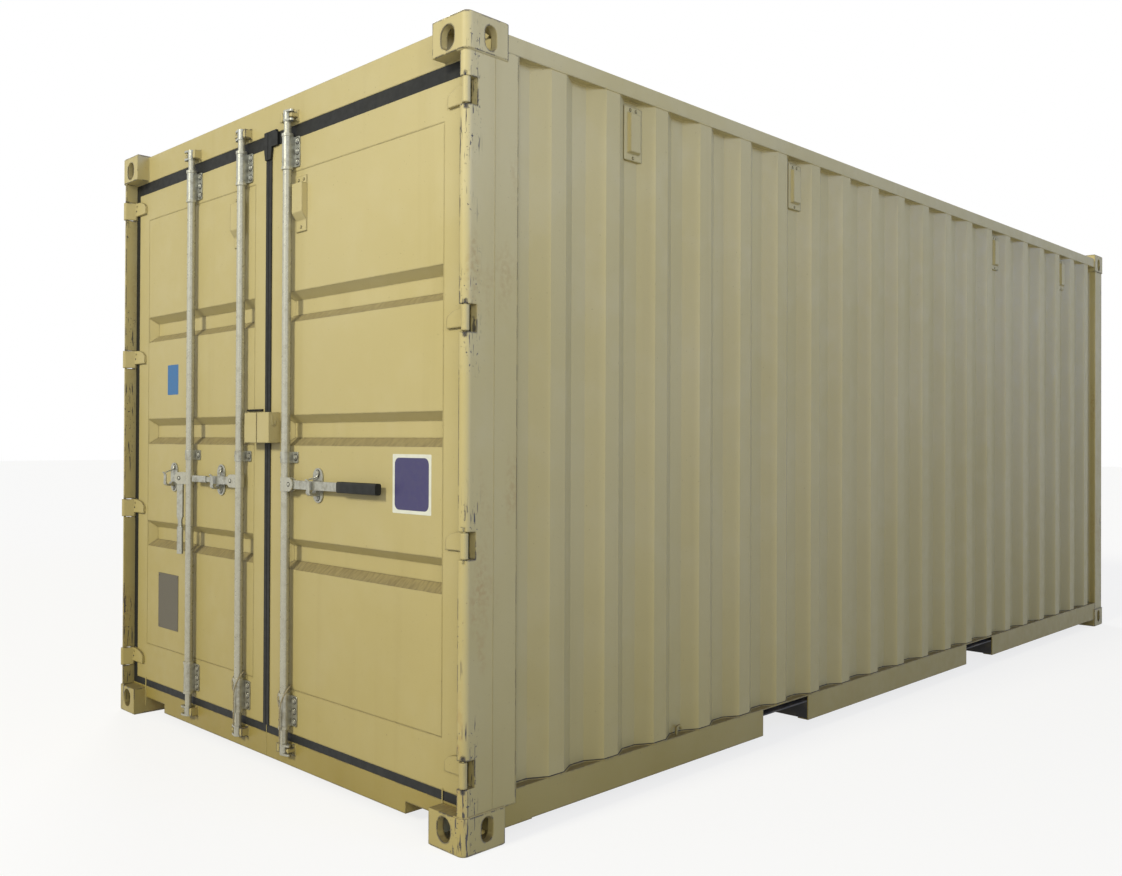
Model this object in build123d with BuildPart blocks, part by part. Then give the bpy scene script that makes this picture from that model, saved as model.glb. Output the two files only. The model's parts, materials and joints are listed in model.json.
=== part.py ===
"""A dry freight container of the short ISO length, with two hinged rear doors.

Millimetres. X is the width, Y the length with the doors at -Y, Z is up. The origin is the
centre of the base, level with the undersides of the bottom corner castings.
"""

import os
from math import atan2, ceil, cos, degrees, pi, radians, sin, tan

from build123d import *

os.makedirs("parts", exist_ok=True)

# Overall size
length = 6058.0
width = 2438.0
height = 2591.0
half_length = length / 2
half_width = width / 2

# Corner castings
casting_x = 162.0
casting_y = 178.0
casting_z = 118.0
casting_wall = 28.0
casting_inner_wall = 12.0
casting_corner_radius = 27.0
casting_edge_chamfer = 5.0
slot_height = 79.5
end_slot_width = 63.5
side_slot_width = 51.0
face_slot_x = 63.5
face_slot_y = 124.5
slot_from_side = 89.5
slot_from_end = 102.5

# Frame setbacks from the castings
post_set_in = 5.0
wall_set_in = 6.0
face_set_back = 58.0
end_rail_set_in = 11.0

# Rear posts
post_strip = 30.0
post_box_depth = 113.0
post_side_depth = 224.0
post_plate = 6.0
post_lip = 42.0
post_corner_radius = 24.0

# Front posts
front_post_depth = 155.0
front_post_width = 100.0
front_post_lip = 36.0

# Header, sill and rails
header_drop = 6.0
header_height = 117.0
header_depth = 100.0
sill_bottom = 35.0
sill_top = 127.0
sill_depth = 121.0
sill_notch_height = 40.0
sill_notch_width = 187.0
threshold_depth = 56.0
top_rail_drop = 32.0
top_rail_height = 57.0
top_rail_width = 60.0
side_rail_bottom = 52.0
side_rail_top = 163.0
side_rail_plate = 4.5
side_rail_flange = 50.0
bolster_drop = 3.0
bolster_length = 127.0
bolster_width = 60.0
front_rail_bottom = 35.0
front_rail_depth = 60.0

# Corrugated walls
wall_sheet = 2.0
side_pitch = 278.3
side_slope = 68.0
side_flat = 70.0
side_recess = 36.0
front_pitch = 250.0
front_slope = 60.0
front_flat = 65.0
front_recess = 45.0

# Roof
roof_sheet = 2.0
roof_overlap = 37.0
roof_pitch = 209.0
roof_crown_width = 130.0
roof_crown_rise = 20.0
roof_crown_margin = 40.0
roof_crown_angle = 45.0

# Floor, cross members and fork pockets
floor_top = 166.0
floor_thickness = 28.0
floor_side_gap = 3.0
member_width = 45.0
member_plate = 4.0
member_pitch = 286.0
pocket_spacing = 2050.0
pocket_offset = -150.0
pocket_width = 360.0
pocket_plate = 6.0

# Doors
seam_half = 20.0
leaf_post_gap = 36.0
leaf_sill_gap = 31.0
leaf_header_gap = 52.0
leaf_depth = 60.0
outer_stile = 98.0
inner_stile = 85.0
bottom_member = 167.0
top_member = 126.0
panel_sheet = 2.5
rib_height = 116.0
rib_depth = 36.0
rib_slope = 30.0
rib_end_margin = 512.5
rib_count = 3
gasket_depth = 25.0
gasket_gap = 1.0
gasket_seam_half = 1.5
gasket_lip = 4.0
gasket_pad_width = 27.0
gasket_pad_depth = 10.0
gasket_pad_drop = 114.0
gasket_pad_height = 109.0
gasket_pad_taper = 37.0
gasket_flap_reach = 70.0
gasket_flap_step = 10.0
header_clearance = 0.5

# Hinges
pin_from_side = 17.0
pin_from_end = 15.0
pin_radius = 5.0
pin_clearance = 0.3
barrel_radius = 13.0
hinge_height = 80.0
hinge_count = 4
lowest_hinge = 249.0
highest_hinge_drop = 244.5
hinge_clearance = 3.0
pin_seat = 14.0
pocket_back_wall = 47.0
blade_thickness = 10.0
blade_reach = 126.0
blade_rise = 18.0
blade_shoulder = 34.0
blade_hole_radius = 5.0
elbow_start = 28.0
elbow_back_angle = 30.0
elbow_front_angle = 20.0

# Locking rods
rod_radius = 17.0
rod_stand_off = 25.5
outer_rod = 594.0
left_rod = 174.0
right_rod = 167.0
rod_1_rest_turn = 20.0
rod_clearance = 0.5
stem_radius = 14.0
collar_radius = 22.5
collar_height = 11.0
sleeve_wall = 2.5
sleeve_length = 115.0
lower_sleeve_bottom = 190.0
upper_sleeve_drop = 171.0
middle_bracket_bottom = 1184.0
middle_bracket_height = 42.0
bracket_plate = 5.0
bracket_reach = 52.0
bracket_corner_radius = 8.0

# Cams and keepers
cam_height = 42.0
cam_plate = 8.0
cam_radius = 16.0
cam_nose_radius = 10.0
cam_nose_reach = 28.0
cam_clearance = 5.0
upper_cam_drop = 114.0
lower_cam_bottom = 82.0
keeper_depth = 33.0
keeper_length = 20.0
keeper_point = 7.0
keeper_base_depth = 8.0
free_lug_height = 34.0

# Handles
handle_height = 1104.0
handle_bar = 32.0
handle_thickness = 8.0
handle_stand_off = 33.0
hub_radius = 20.0
hub_height = 52.0
hub_plate = 5.0
hub_gap = 1.0
pivot_offset = 46.0
pivot_radius = 6.0
short_handle = 327.0
long_handle = 314.0
handle_waist = 20.0
waist_start = 165.0
end_grip_length = 118.0
end_grip_height = 29.0
end_grip_thickness = 15.0
end_grip_radius = 6.0
grip_length = 227.0
grip_height = 40.0
grip_thickness = 26.0
grip_corner_radius = 8.5
catch_width = 62.0
catch_height = 128.0
catch_plate = 6.0
catch_from_pivot = 140.0
cradle_radius = 17.5
cradle_wall = 6.0
cradle_width = 24.0
cradle_clearance = 5.0

# Tie ropes round the two middle rods
rope_diameter = 5.0
rope_tail_end = 130.0

# Vents
vent_width = 100.0
vent_back_width = 66.0
vent_plate = 12.0
vent_drop = 111.0
vent_height = 194.0
vent_hood_width = 64.0
vent_hood_depth = 14.0
vent_hood_rise = 24.0
vent_hood_height = 148.0
vent_hood_taper = 20.0
outer_vent_recess = 2
inner_vent_recess = 6
door_vent_inner = 196.0
door_vent_width = 68.0
door_vent_plate = 4.0
door_vent_drop = 327.0
door_vent_height = 209.0
door_vent_hood_rise = 37.0
door_vent_hood_height = 143.0
door_vent_hood_depth = 24.0
door_vent_bevel = 33.0

# Tie-back hooks at the foot of the side walls
hook_recess = 3
hook_radius = 14.0
hook_wire = 5.0
hook_height = 32.0

# Lock box
lock_box_reach = 90.0
lock_box_bottom = 1259.0
lock_box_height = 118.0
lock_box_depth = 53.0
lock_box_wall = 4.0
lock_box_seam_half = 3.0
box_hook_wire = 2.5
box_hook_radius = 8.0
box_hook_back = 31.0
box_hook_drop = 36.0

# Places that follow from the sizes above
face_y = -half_length + face_set_back
header_top = height - header_drop
header_bottom = header_top - header_height
top_rail_top = height - top_rail_drop
top_rail_bottom = top_rail_top - top_rail_height
leaf_bottom = sill_top + leaf_sill_gap
leaf_top = header_bottom - leaf_header_gap
post_x = half_width - post_set_in
post_inner_x = post_x - post_strip
post_front_y = -half_length + post_set_in
post_back_y = post_front_y + post_side_depth
front_post_y = half_length - post_set_in
front_post_edge_y = front_post_y - front_post_depth
front_post_inner_x = post_x - front_post_width
wall_x = half_width - wall_set_in
casting_inner_x = half_width - casting_x
casting_inner_y = half_length - casting_y
top_casting_bottom = height - casting_z
end_rail_y = half_length - end_rail_set_in
wall_centre_y = (post_back_y + front_post_edge_y) / 2
leaf_outer_x = post_inner_x - leaf_post_gap
pin_x = half_width - pin_from_side
pin_y = -half_length + pin_from_end
rod_y = face_y - rod_stand_off
handle_y = face_y - handle_stand_off
floor_bottom = floor_top - floor_thickness
pocket_centres = [pocket_offset + side * pocket_spacing / 2 for side in (-1, 1)]
side_recess_count = ceil((front_post_edge_y - post_back_y) / side_pitch)
front_recess_count = ceil(2 * front_post_inner_x / front_pitch)
highest_hinge = height - highest_hinge_drop
hinge_step = (highest_hinge - lowest_hinge) / (hinge_count - 1)
hinge_heights = [lowest_hinge + index * hinge_step for index in range(hinge_count)]
rod_positions = (-outer_rod, -left_rod, right_rod)
upper_sleeve_top = height - upper_sleeve_drop
upper_cam_bottom = height - upper_cam_drop
gasket_pad_top = height - gasket_pad_drop
gasket_pad_bottom = gasket_pad_top - gasket_pad_height
lock_box_top = lock_box_bottom + lock_box_height
vent_bottom = height - vent_drop - vent_height
vent_hood_bottom = vent_bottom + vent_hood_rise
door_vent_top = height - door_vent_drop
door_vent_bottom = door_vent_top - door_vent_height
door_vent_hood_bottom = door_vent_bottom + door_vent_hood_rise


def finish(sub_part, name):
    """Label a finished sub-part and write its file."""
    sub_part.part.label = name
    export_step(sub_part.part, f"parts/{name}.step")


def block(x_range, y_range, z_range, mode=Mode.ADD):
    """Add a straight block between two limits on each axis to the part in work."""
    limits = (x_range, y_range, z_range)
    middle = tuple((low + high) / 2 for low, high in limits)
    with Locations(middle):
        Box(*(high - low for low, high in limits), mode=mode)


def end_plane(y):
    """A plane across the container at y, whose local axes are X and Z."""
    return Plane(origin=(0, y, 0), x_dir=(1, 0, 0), z_dir=(0, -1, 0))


def side_plane(x):
    """A plane along the container at x, whose local axes are Y and Z."""
    return Plane(origin=(x, 0, 0), x_dir=(0, 1, 0), z_dir=(1, 0, 0))


def rectangle_between(x_range, y_range, mode=Mode.ADD):
    """Add a rectangle between two limits on each local axis to the sketch in work."""
    middle = (sum(x_range) / 2, sum(y_range) / 2)
    with Locations(middle):
        Rectangle(x_range[1] - x_range[0], y_range[1] - y_range[0], mode=mode)


def corrugated_outline(centre, pitch, slope, flat, recess, count, sheet):
    """Points round a folded sheet along local X, its crowns at Y = 0 and its recesses below."""
    crown = pitch - 2 * slope - flat
    outer = []
    for index in range(count):
        start = centre + (index - (count - 1) / 2) * pitch - slope - flat / 2
        outer += [(start, 0), (start + slope, -recess)]
        outer += [(start + slope + flat, -recess), (start + 2 * slope + flat, 0)]
    outer = [(outer[0][0] - crown, 0)] + outer + [(outer[-1][0] + crown, 0)]
    return outer + [(along, depth - sheet) for along, depth in reversed(outer)]


# Corner castings: hollow blocks with an oval hole in each of the three outer faces
with BuildPart() as casting:
    with BuildSketch() as casting_plan:
        rectangle_between((casting_inner_x, half_width), (-half_length, -casting_inner_y))
        outer_corner = casting_plan.vertices().group_by(Axis.X)[-1].sort_by(Axis.Y)[0]
        fillet(outer_corner, casting_corner_radius)
    extrude(amount=casting_z)
    chamfer(faces().sort_by(Axis.Z)[0].edges(), casting_edge_chamfer)
    block(
        (casting_inner_x + casting_inner_wall, half_width - casting_wall),
        (-half_length + casting_wall, -casting_inner_y - casting_inner_wall),
        (casting_wall, casting_z - casting_inner_wall),
        mode=Mode.SUBTRACT,
    )
    slot_x = half_width - slot_from_side
    slot_y = -half_length + slot_from_end
    slot_z = casting_wall + slot_height / 2
    with BuildSketch() as face_slot:
        with Locations((slot_x, slot_y)):
            SlotOverall(face_slot_y, face_slot_x, rotation=90)
    extrude(amount=casting_wall, mode=Mode.SUBTRACT)
    with BuildSketch(end_plane(-half_length)) as end_slot:
        with Locations((slot_x, slot_z)):
            SlotOverall(slot_height, end_slot_width, rotation=90)
    extrude(amount=-casting_wall, mode=Mode.SUBTRACT)
    with BuildSketch(side_plane(half_width)) as side_slot:
        with Locations((slot_y, slot_z)):
            SlotOverall(slot_height, side_slot_width, rotation=90)
    extrude(amount=-casting_wall, mode=Mode.SUBTRACT)

for level, level_plane in (("bottom", None), ("top", Plane.XY.offset(height / 2))):
    for end, end_mirror in (("rear", None), ("front", Plane.XZ)):
        for side, side_mirror in (("right", None), ("left", Plane.YZ)):
            placed = casting.part
            for about in (level_plane, end_mirror, side_mirror):
                if about is not None:
                    placed = mirror(placed, about=about)
            with BuildPart() as corner_casting:
                add(placed)
            finish(corner_casting, f"casting_{end}_{level}_{side}")


# Rear posts: a box behind the front strip, a side plate and a lip that takes the wall sheet
with BuildPart() as rear_post_right:
    with BuildSketch(Plane.XY.offset(casting_z)) as rear_post_plan:
        rectangle_between((post_inner_x, post_x), (post_front_y, post_front_y + post_box_depth))
        post_corner = rear_post_plan.vertices().group_by(Axis.X)[-1].sort_by(Axis.Y)[0]
        fillet(post_corner, post_corner_radius)
        rectangle_between((post_x - post_plate, post_x), (post_front_y + post_box_depth, post_back_y))
        rectangle_between((post_x - post_lip, post_x), (post_back_y - post_plate, post_back_y))
    extrude(amount=top_casting_bottom - casting_z)
    # The plate behind the top casting goes on up to the top side rail
    block(
        (post_x - post_plate, post_x),
        (-casting_inner_y, post_back_y),
        (top_casting_bottom, top_rail_bottom),
    )
    # Pockets for the hinge barrels, with a bore above and below each for the pin
    pocket_half = hinge_height / 2 + hinge_clearance
    for hinge_z in hinge_heights:
        block(
            (post_inner_x - barrel_radius, half_width),
            (-half_length, post_front_y + pocket_back_wall),
            (hinge_z - pocket_half, hinge_z + pocket_half),
            mode=Mode.SUBTRACT,
        )
        with Locations((pin_x, pin_y, hinge_z)):
            Cylinder(pin_radius + pin_clearance, 2 * (pocket_half + pin_seat), mode=Mode.SUBTRACT)
finish(rear_post_right, "rear_post_right")

with BuildPart() as rear_post_left:
    mirror(rear_post_right.part, about=Plane.YZ)
finish(rear_post_left, "rear_post_left")


# Front posts: an L of plate with a rounded corner and a lip along each edge
with BuildSketch(Plane.XY.offset(casting_z)) as front_post_inside:
    rectangle_between(
        (front_post_inner_x, post_x - post_plate),
        (front_post_edge_y, front_post_y - post_plate),
    )
    inside_corner = front_post_inside.vertices().group_by(Axis.X)[-1].sort_by(Axis.Y)[-1]
    fillet(inside_corner, post_corner_radius - post_plate)

with BuildPart() as front_post_right:
    with BuildSketch(Plane.XY.offset(casting_z)) as front_post_plan:
        rectangle_between((front_post_inner_x, post_x), (front_post_edge_y, front_post_y))
        front_corner = front_post_plan.vertices().group_by(Axis.X)[-1].sort_by(Axis.Y)[-1]
        fillet(front_corner, post_corner_radius)
        add(front_post_inside.sketch_local, mode=Mode.SUBTRACT)
        rectangle_between(
            (post_x - front_post_lip, post_x - post_plate),
            (front_post_edge_y, front_post_edge_y + post_plate),
        )
        rectangle_between(
            (front_post_inner_x, front_post_inner_x + post_plate),
            (front_post_y - front_post_lip - wall_set_in, front_post_y - post_plate),
        )
    extrude(amount=top_casting_bottom - casting_z)
finish(front_post_right, "front_post_right")

with BuildPart() as front_post_left:
    mirror(front_post_right.part, about=Plane.YZ)
finish(front_post_left, "front_post_left")


# Door header: the beam between the top castings and a strip under them to the posts
with BuildPart() as door_header:
    with BuildSketch(side_plane(0)) as header_section:
        rectangle_between((face_y, face_y + header_depth), (header_bottom, header_top))
    extrude(amount=casting_inner_x, both=True)
    with BuildSketch(side_plane(0)) as header_strip:
        rectangle_between((face_y, face_y + header_depth), (header_bottom, top_casting_bottom))
    extrude(amount=post_inner_x, both=True)
finish(door_header, "door_header")


# Door sill: the beam between the bottom castings, notched beside them, and the raised threshold
with BuildPart() as door_sill:
    with BuildSketch(side_plane(0)) as sill_section:
        rectangle_between((face_y, face_y + sill_depth), (sill_bottom, sill_top))
    extrude(amount=casting_inner_x, both=True)
    with BuildSketch(side_plane(0)) as sill_strip:
        rectangle_between((face_y, face_y + sill_depth), (casting_z, sill_top))
        rectangle_between(
            (face_y + sill_depth - threshold_depth, face_y + sill_depth), (sill_top, floor_top)
        )
    extrude(amount=post_inner_x, both=True)
    for side in (-1, 1):
        notch_outer = side * casting_inner_x
        notch_inner = side * (casting_inner_x - sill_notch_width)
        block(
            (min(notch_outer, notch_inner), max(notch_outer, notch_inner)),
            (face_y, face_y + sill_depth),
            (sill_bottom, sill_bottom + sill_notch_height),
            mode=Mode.SUBTRACT,
        )
finish(door_sill, "door_sill")


# Front rails: beams between the front castings with a strip on to the posts
with BuildPart() as front_top_rail:
    with BuildSketch(side_plane(0)) as front_top_section:
        rectangle_between((end_rail_y - front_rail_depth, end_rail_y), (header_bottom, header_top))
    extrude(amount=casting_inner_x, both=True)
    with BuildSketch(side_plane(0)) as front_top_strip:
        rectangle_between(
            (end_rail_y - front_rail_depth, end_rail_y), (header_bottom, top_casting_bottom)
        )
    extrude(amount=front_post_inner_x, both=True)
finish(front_top_rail, "front_top_rail")

with BuildPart() as front_bottom_rail:
    with BuildSketch(side_plane(0)) as front_bottom_section:
        rectangle_between(
            (end_rail_y - front_rail_depth, end_rail_y), (front_rail_bottom, side_rail_top)
        )
    extrude(amount=casting_inner_x, both=True)
    with BuildSketch(side_plane(0)) as front_bottom_strip:
        rectangle_between((end_rail_y - front_rail_depth, end_rail_y), (casting_z, side_rail_top))
    extrude(amount=front_post_inner_x, both=True)
finish(front_bottom_rail, "front_bottom_rail")


# Top side rails: square tubes between the top castings
with BuildPart() as top_side_rail_right:
    with BuildSketch(end_plane(0)) as top_rail_section:
        rectangle_between((wall_x - top_rail_width, wall_x), (top_rail_bottom, top_rail_top))
    extrude(amount=casting_inner_y, both=True)
finish(top_side_rail_right, "top_side_rail_right")

with BuildPart() as top_side_rail_left:
    mirror(top_side_rail_right.part, about=Plane.YZ)
finish(top_side_rail_left, "top_side_rail_left")


# Bottom side rails: channels open to the inside, cut away at the fork pockets
with BuildPart() as bottom_side_rail_right:
    with BuildSketch(end_plane(-casting_inner_y)) as side_rail_section:
        rectangle_between((wall_x - side_rail_flange, wall_x), (side_rail_bottom, side_rail_top))
        rectangle_between(
            (wall_x - side_rail_flange, wall_x - side_rail_plate),
            (side_rail_bottom + side_rail_plate, side_rail_top - side_rail_plate),
            mode=Mode.SUBTRACT,
        )
    extrude(amount=-(casting_inner_y + front_post_edge_y))
    block(
        (wall_x - side_rail_flange, wall_x),
        (-casting_inner_y, post_back_y),
        (casting_z, side_rail_top),
        mode=Mode.SUBTRACT,
    )
    block(
        (wall_x - side_rail_flange, wall_x),
        (casting_inner_y, front_post_edge_y),
        (side_rail_bottom, casting_z),
        mode=Mode.SUBTRACT,
    )
    # Bolster beside each casting, a little lower than the rail
    for side in (-1, 1):
        bolster_end = side * casting_inner_y
        bolster_start = side * (casting_inner_y - bolster_length)
        block(
            (wall_x - bolster_width, wall_x),
            (min(bolster_start, bolster_end), max(bolster_start, bolster_end)),
            (side_rail_bottom - bolster_drop, casting_z),
        )
    for centre in pocket_centres:
        block(
            (wall_x - bolster_width, wall_x),
            (centre - pocket_width / 2, centre + pocket_width / 2),
            (side_rail_bottom, side_rail_top - side_rail_plate),
            mode=Mode.SUBTRACT,
        )
    # Tie-back hook for an open door, standing on the rail in a recess of the wall
    hook_y = wall_centre_y + (hook_recess - (side_recess_count - 1) / 2) * side_pitch
    hook_x = wall_x - side_recess / 2
    hook_bend = side_rail_top + hook_height - hook_radius
    with BuildLine() as hook_line:
        Line((hook_x, hook_y - hook_radius, side_rail_top), (hook_x, hook_y - hook_radius, hook_bend))
        ThreePointArc(
            (hook_x, hook_y - hook_radius, hook_bend),
            (hook_x, hook_y, hook_bend + hook_radius),
            (hook_x, hook_y + hook_radius, hook_bend),
        )
    with BuildSketch(Plane((hook_x, hook_y - hook_radius, side_rail_top))) as hook_section:
        Circle(hook_wire)
    sweep()
finish(bottom_side_rail_right, "bottom_side_rail_right")

with BuildPart() as bottom_side_rail_left:
    mirror(bottom_side_rail_right.part, about=Plane.YZ)
finish(bottom_side_rail_left, "bottom_side_rail_left")


# Side walls: folded sheet between the posts and the rails
wall_points = corrugated_outline(
    wall_centre_y, side_pitch, side_slope, side_flat, side_recess, side_recess_count, wall_sheet
)
with BuildPart() as side_wall_right:
    with BuildSketch(Plane.XY.offset(side_rail_top)) as side_wall_plan:
        with BuildLine():
            Polyline(*((wall_x + depth, along) for along, depth in wall_points), close=True)
        make_face()
        rectangle_between(
            (wall_x - side_recess - wall_sheet, wall_x), (post_back_y, front_post_edge_y),
            mode=Mode.INTERSECT,
        )
    extrude(amount=top_rail_bottom - side_rail_top)
    block(
        (casting_inner_x, half_width),
        (casting_inner_y, front_post_edge_y),
        (top_casting_bottom, top_rail_bottom),
        mode=Mode.SUBTRACT,
    )
finish(side_wall_right, "side_wall_right")

with BuildPart() as side_wall_left:
    mirror(side_wall_right.part, about=Plane.YZ)
finish(side_wall_left, "side_wall_left")


# Side vents: a tray that fills the recess of the wall, with a bevelled hood on it
with BuildPart() as side_vents:
    last_recess = side_recess_count - 1
    for recess in (
        outer_vent_recess,
        inner_vent_recess,
        last_recess - inner_vent_recess,
        last_recess - outer_vent_recess,
    ):
        vent_y = wall_centre_y + (recess - last_recess / 2) * side_pitch
        recess_x = wall_x - side_recess
        with BuildSketch(Plane.XY.offset(vent_bottom)) as vent_plan:
            with BuildLine():
                Polyline(
                    (recess_x, vent_y - vent_back_width / 2),
                    (recess_x + vent_plate - wall_sheet, vent_y - vent_width / 2),
                    (recess_x + vent_plate, vent_y - vent_width / 2),
                    (recess_x + vent_plate, vent_y + vent_width / 2),
                    (recess_x + vent_plate - wall_sheet, vent_y + vent_width / 2),
                    (recess_x, vent_y + vent_back_width / 2),
                    close=True,
                )
            make_face()
        extrude(amount=vent_height)
        with BuildSketch(side_plane(recess_x + vent_plate)) as hood_face:
            with Locations((vent_y, vent_hood_bottom + vent_hood_height / 2)):
                Rectangle(vent_hood_width, vent_hood_height)
        extrude(amount=vent_hood_depth, taper=vent_hood_taper)
    mirror(about=Plane.YZ)
finish(side_vents, "side_vents")


# Front wall: the same kind of sheet across the front end
front_points = corrugated_outline(
    0, front_pitch, front_slope, front_flat, front_recess, front_recess_count, wall_sheet
)
with BuildPart() as front_wall:
    with BuildSketch(Plane.XY.offset(side_rail_top)) as front_wall_plan:
        with BuildLine():
            Polyline(*((along, end_rail_y + depth) for along, depth in front_points), close=True)
        make_face()
        rectangle_between(
            (-front_post_inner_x, front_post_inner_x),
            (end_rail_y - front_recess - wall_sheet, end_rail_y),
            mode=Mode.INTERSECT,
        )
    extrude(amount=header_bottom - side_rail_top)
finish(front_wall, "front_wall")


# Roof: one sheet with raised crowns whose ends slope down before the side rails
roof_rear_y = face_y + header_depth
roof_front_y = end_rail_y - front_rail_depth
roof_centre_y = (roof_rear_y + roof_front_y) / 2
roof_half_width = wall_x - top_rail_width + roof_overlap
crown_half = wall_x - top_rail_width - roof_crown_margin
roof_crowns = int((roof_front_y - roof_rear_y) // roof_pitch)
crown_places = GridLocations(0, roof_pitch, 1, roof_crowns)
with BuildPart() as roof:
    with BuildSketch(Plane.XY.offset(top_rail_top)) as roof_plan:
        rectangle_between((-casting_inner_x, casting_inner_x), (roof_rear_y, roof_front_y))
        rectangle_between(
            (-roof_half_width, roof_half_width), (-casting_inner_y, casting_inner_y)
        )
    extrude(amount=roof_sheet)
    with BuildSketch(Plane((0, roof_centre_y, top_rail_top + roof_sheet))) as crown_outer:
        with crown_places:
            Rectangle(2 * crown_half, roof_crown_width)
    extrude(amount=roof_crown_rise, taper=roof_crown_angle)
    with BuildSketch(Plane((0, roof_centre_y, top_rail_top))) as crown_inner:
        with crown_places:
            Rectangle(2 * crown_half, roof_crown_width)
    extrude(amount=roof_crown_rise, taper=roof_crown_angle, mode=Mode.SUBTRACT)
finish(roof, "roof")


# Floor: one layer of boards from the threshold to the front wall
floor_half_width = wall_x - side_rail_flange - floor_side_gap
with BuildPart() as floor:
    with BuildSketch(Plane.XY.offset(floor_bottom)) as floor_plan:
        rectangle_between(
            (-casting_inner_x, casting_inner_x), (face_y + sill_depth, end_rail_y - front_rail_depth)
        )
        rectangle_between((-floor_half_width, floor_half_width), (post_back_y, front_post_edge_y))
    extrude(amount=floor_thickness)
finish(floor, "floor")


# Cross members: channels from rail to rail, none across a fork pocket
member_half = wall_x - side_rail_plate
member_bottom = side_rail_bottom + side_rail_plate
member_count = int(2 * (casting_inner_y - bolster_length) // member_pitch)
member_places = [(index - (member_count - 1) / 2) * member_pitch for index in range(member_count)]
with BuildPart() as cross_members:
    for member_y in member_places:
        clear_of_pockets = all(
            abs(member_y - centre) > pocket_width / 2 + pocket_plate + member_width
            for centre in pocket_centres
        )
        if clear_of_pockets:
            with BuildSketch(side_plane(0)) as member_section:
                rectangle_between(
                    (member_y - member_width / 2, member_y + member_width / 2),
                    (member_bottom, floor_bottom),
                )
                rectangle_between(
                    (member_y - member_width / 2 + member_plate, member_y + member_width / 2),
                    (member_bottom + member_plate, floor_bottom - member_plate),
                    mode=Mode.SUBTRACT,
                )
            extrude(amount=member_half, both=True)
finish(cross_members, "cross_members")


# Fork pockets: two side plates each, and a top plate under the floor; they are open below
pocket_top = floor_bottom - pocket_plate
with BuildPart() as fork_pockets:
    for centre in pocket_centres:
        for side in (-1, 1):
            plate_y = centre + side * (pocket_width + pocket_plate) / 2
            block(
                (-member_half, member_half),
                (plate_y - pocket_plate / 2, plate_y + pocket_plate / 2),
                (member_bottom, pocket_top),
            )
finish(fork_pockets, "fork_pockets")

with BuildPart() as fork_pocket_tops:
    for centre in pocket_centres:
        block(
            (-member_half, member_half),
            (centre - pocket_width / 2 - pocket_plate, centre + pocket_width / 2 + pocket_plate),
            (pocket_top, floor_bottom),
        )
finish(fork_pocket_tops, "fork_pocket_tops")


# Door frame: stiles and cross pieces round the panel of one leaf
panel_inner_x = seam_half + inner_stile
panel_outer_x = leaf_outer_x - outer_stile
panel_bottom = leaf_bottom + bottom_member
panel_top = leaf_top - top_member
with BuildPart() as door_frame_right:
    with BuildSketch(end_plane(face_y)) as frame_face:
        rectangle_between((seam_half, leaf_outer_x), (leaf_bottom, leaf_top))
        rectangle_between(
            (panel_inner_x, panel_outer_x), (panel_bottom, panel_top), mode=Mode.SUBTRACT
        )
    extrude(amount=-leaf_depth)
finish(door_frame_right, "door_frame_right")

with BuildPart() as door_frame_left:
    mirror(door_frame_right.part, about=Plane.YZ)
finish(door_frame_left, "door_frame_left")


# Door panel: sheet with three pressed grooves that slope in on all four sides
panel_width = panel_outer_x - panel_inner_x
panel_centre_x = (panel_outer_x + panel_inner_x) / 2
rib_angle = degrees(atan2(rib_slope, rib_depth))
rib_pitch = (panel_top - panel_bottom - 2 * rib_end_margin) / (rib_count - 1)
rib_places = [
    (panel_centre_x, panel_bottom + rib_end_margin + index * rib_pitch) for index in range(rib_count)
]
with BuildPart() as door_panel_right:
    with BuildSketch(end_plane(face_y)) as panel_face:
        rectangle_between((panel_inner_x, panel_outer_x), (panel_bottom, panel_top))
    extrude(amount=-panel_sheet)
    with BuildSketch(end_plane(face_y)) as rib_backs:
        with Locations(*rib_places):
            Rectangle(panel_width, rib_height + 2 * panel_sheet)
    extrude(amount=-(rib_depth + panel_sheet), taper=rib_angle)
    with BuildSketch(end_plane(face_y)) as rib_fronts:
        with Locations(*rib_places):
            Rectangle(panel_width - 2 * panel_sheet, rib_height)
    extrude(amount=-rib_depth, taper=rib_angle, mode=Mode.SUBTRACT)
    # Vent: a plate with a hood that is bevelled at its lower end
    block(
        (door_vent_inner, door_vent_inner + door_vent_width),
        (face_y - door_vent_plate, face_y),
        (door_vent_bottom, door_vent_top),
    )
    with BuildSketch(side_plane(door_vent_inner)) as door_vent_hood:
        with BuildLine():
            Polyline(
                (face_y, door_vent_hood_bottom),
                (face_y - door_vent_hood_depth, door_vent_hood_bottom + door_vent_bevel),
                (face_y - door_vent_hood_depth, door_vent_hood_bottom + door_vent_hood_height),
                (face_y, door_vent_hood_bottom + door_vent_hood_height),
                close=True,
            )
        make_face()
    extrude(amount=door_vent_width)
finish(door_panel_right, "door_panel_right")

with BuildPart() as door_panel_left:
    mirror(door_panel_right.part, about=Plane.YZ)
finish(door_panel_left, "door_panel_left")


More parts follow.
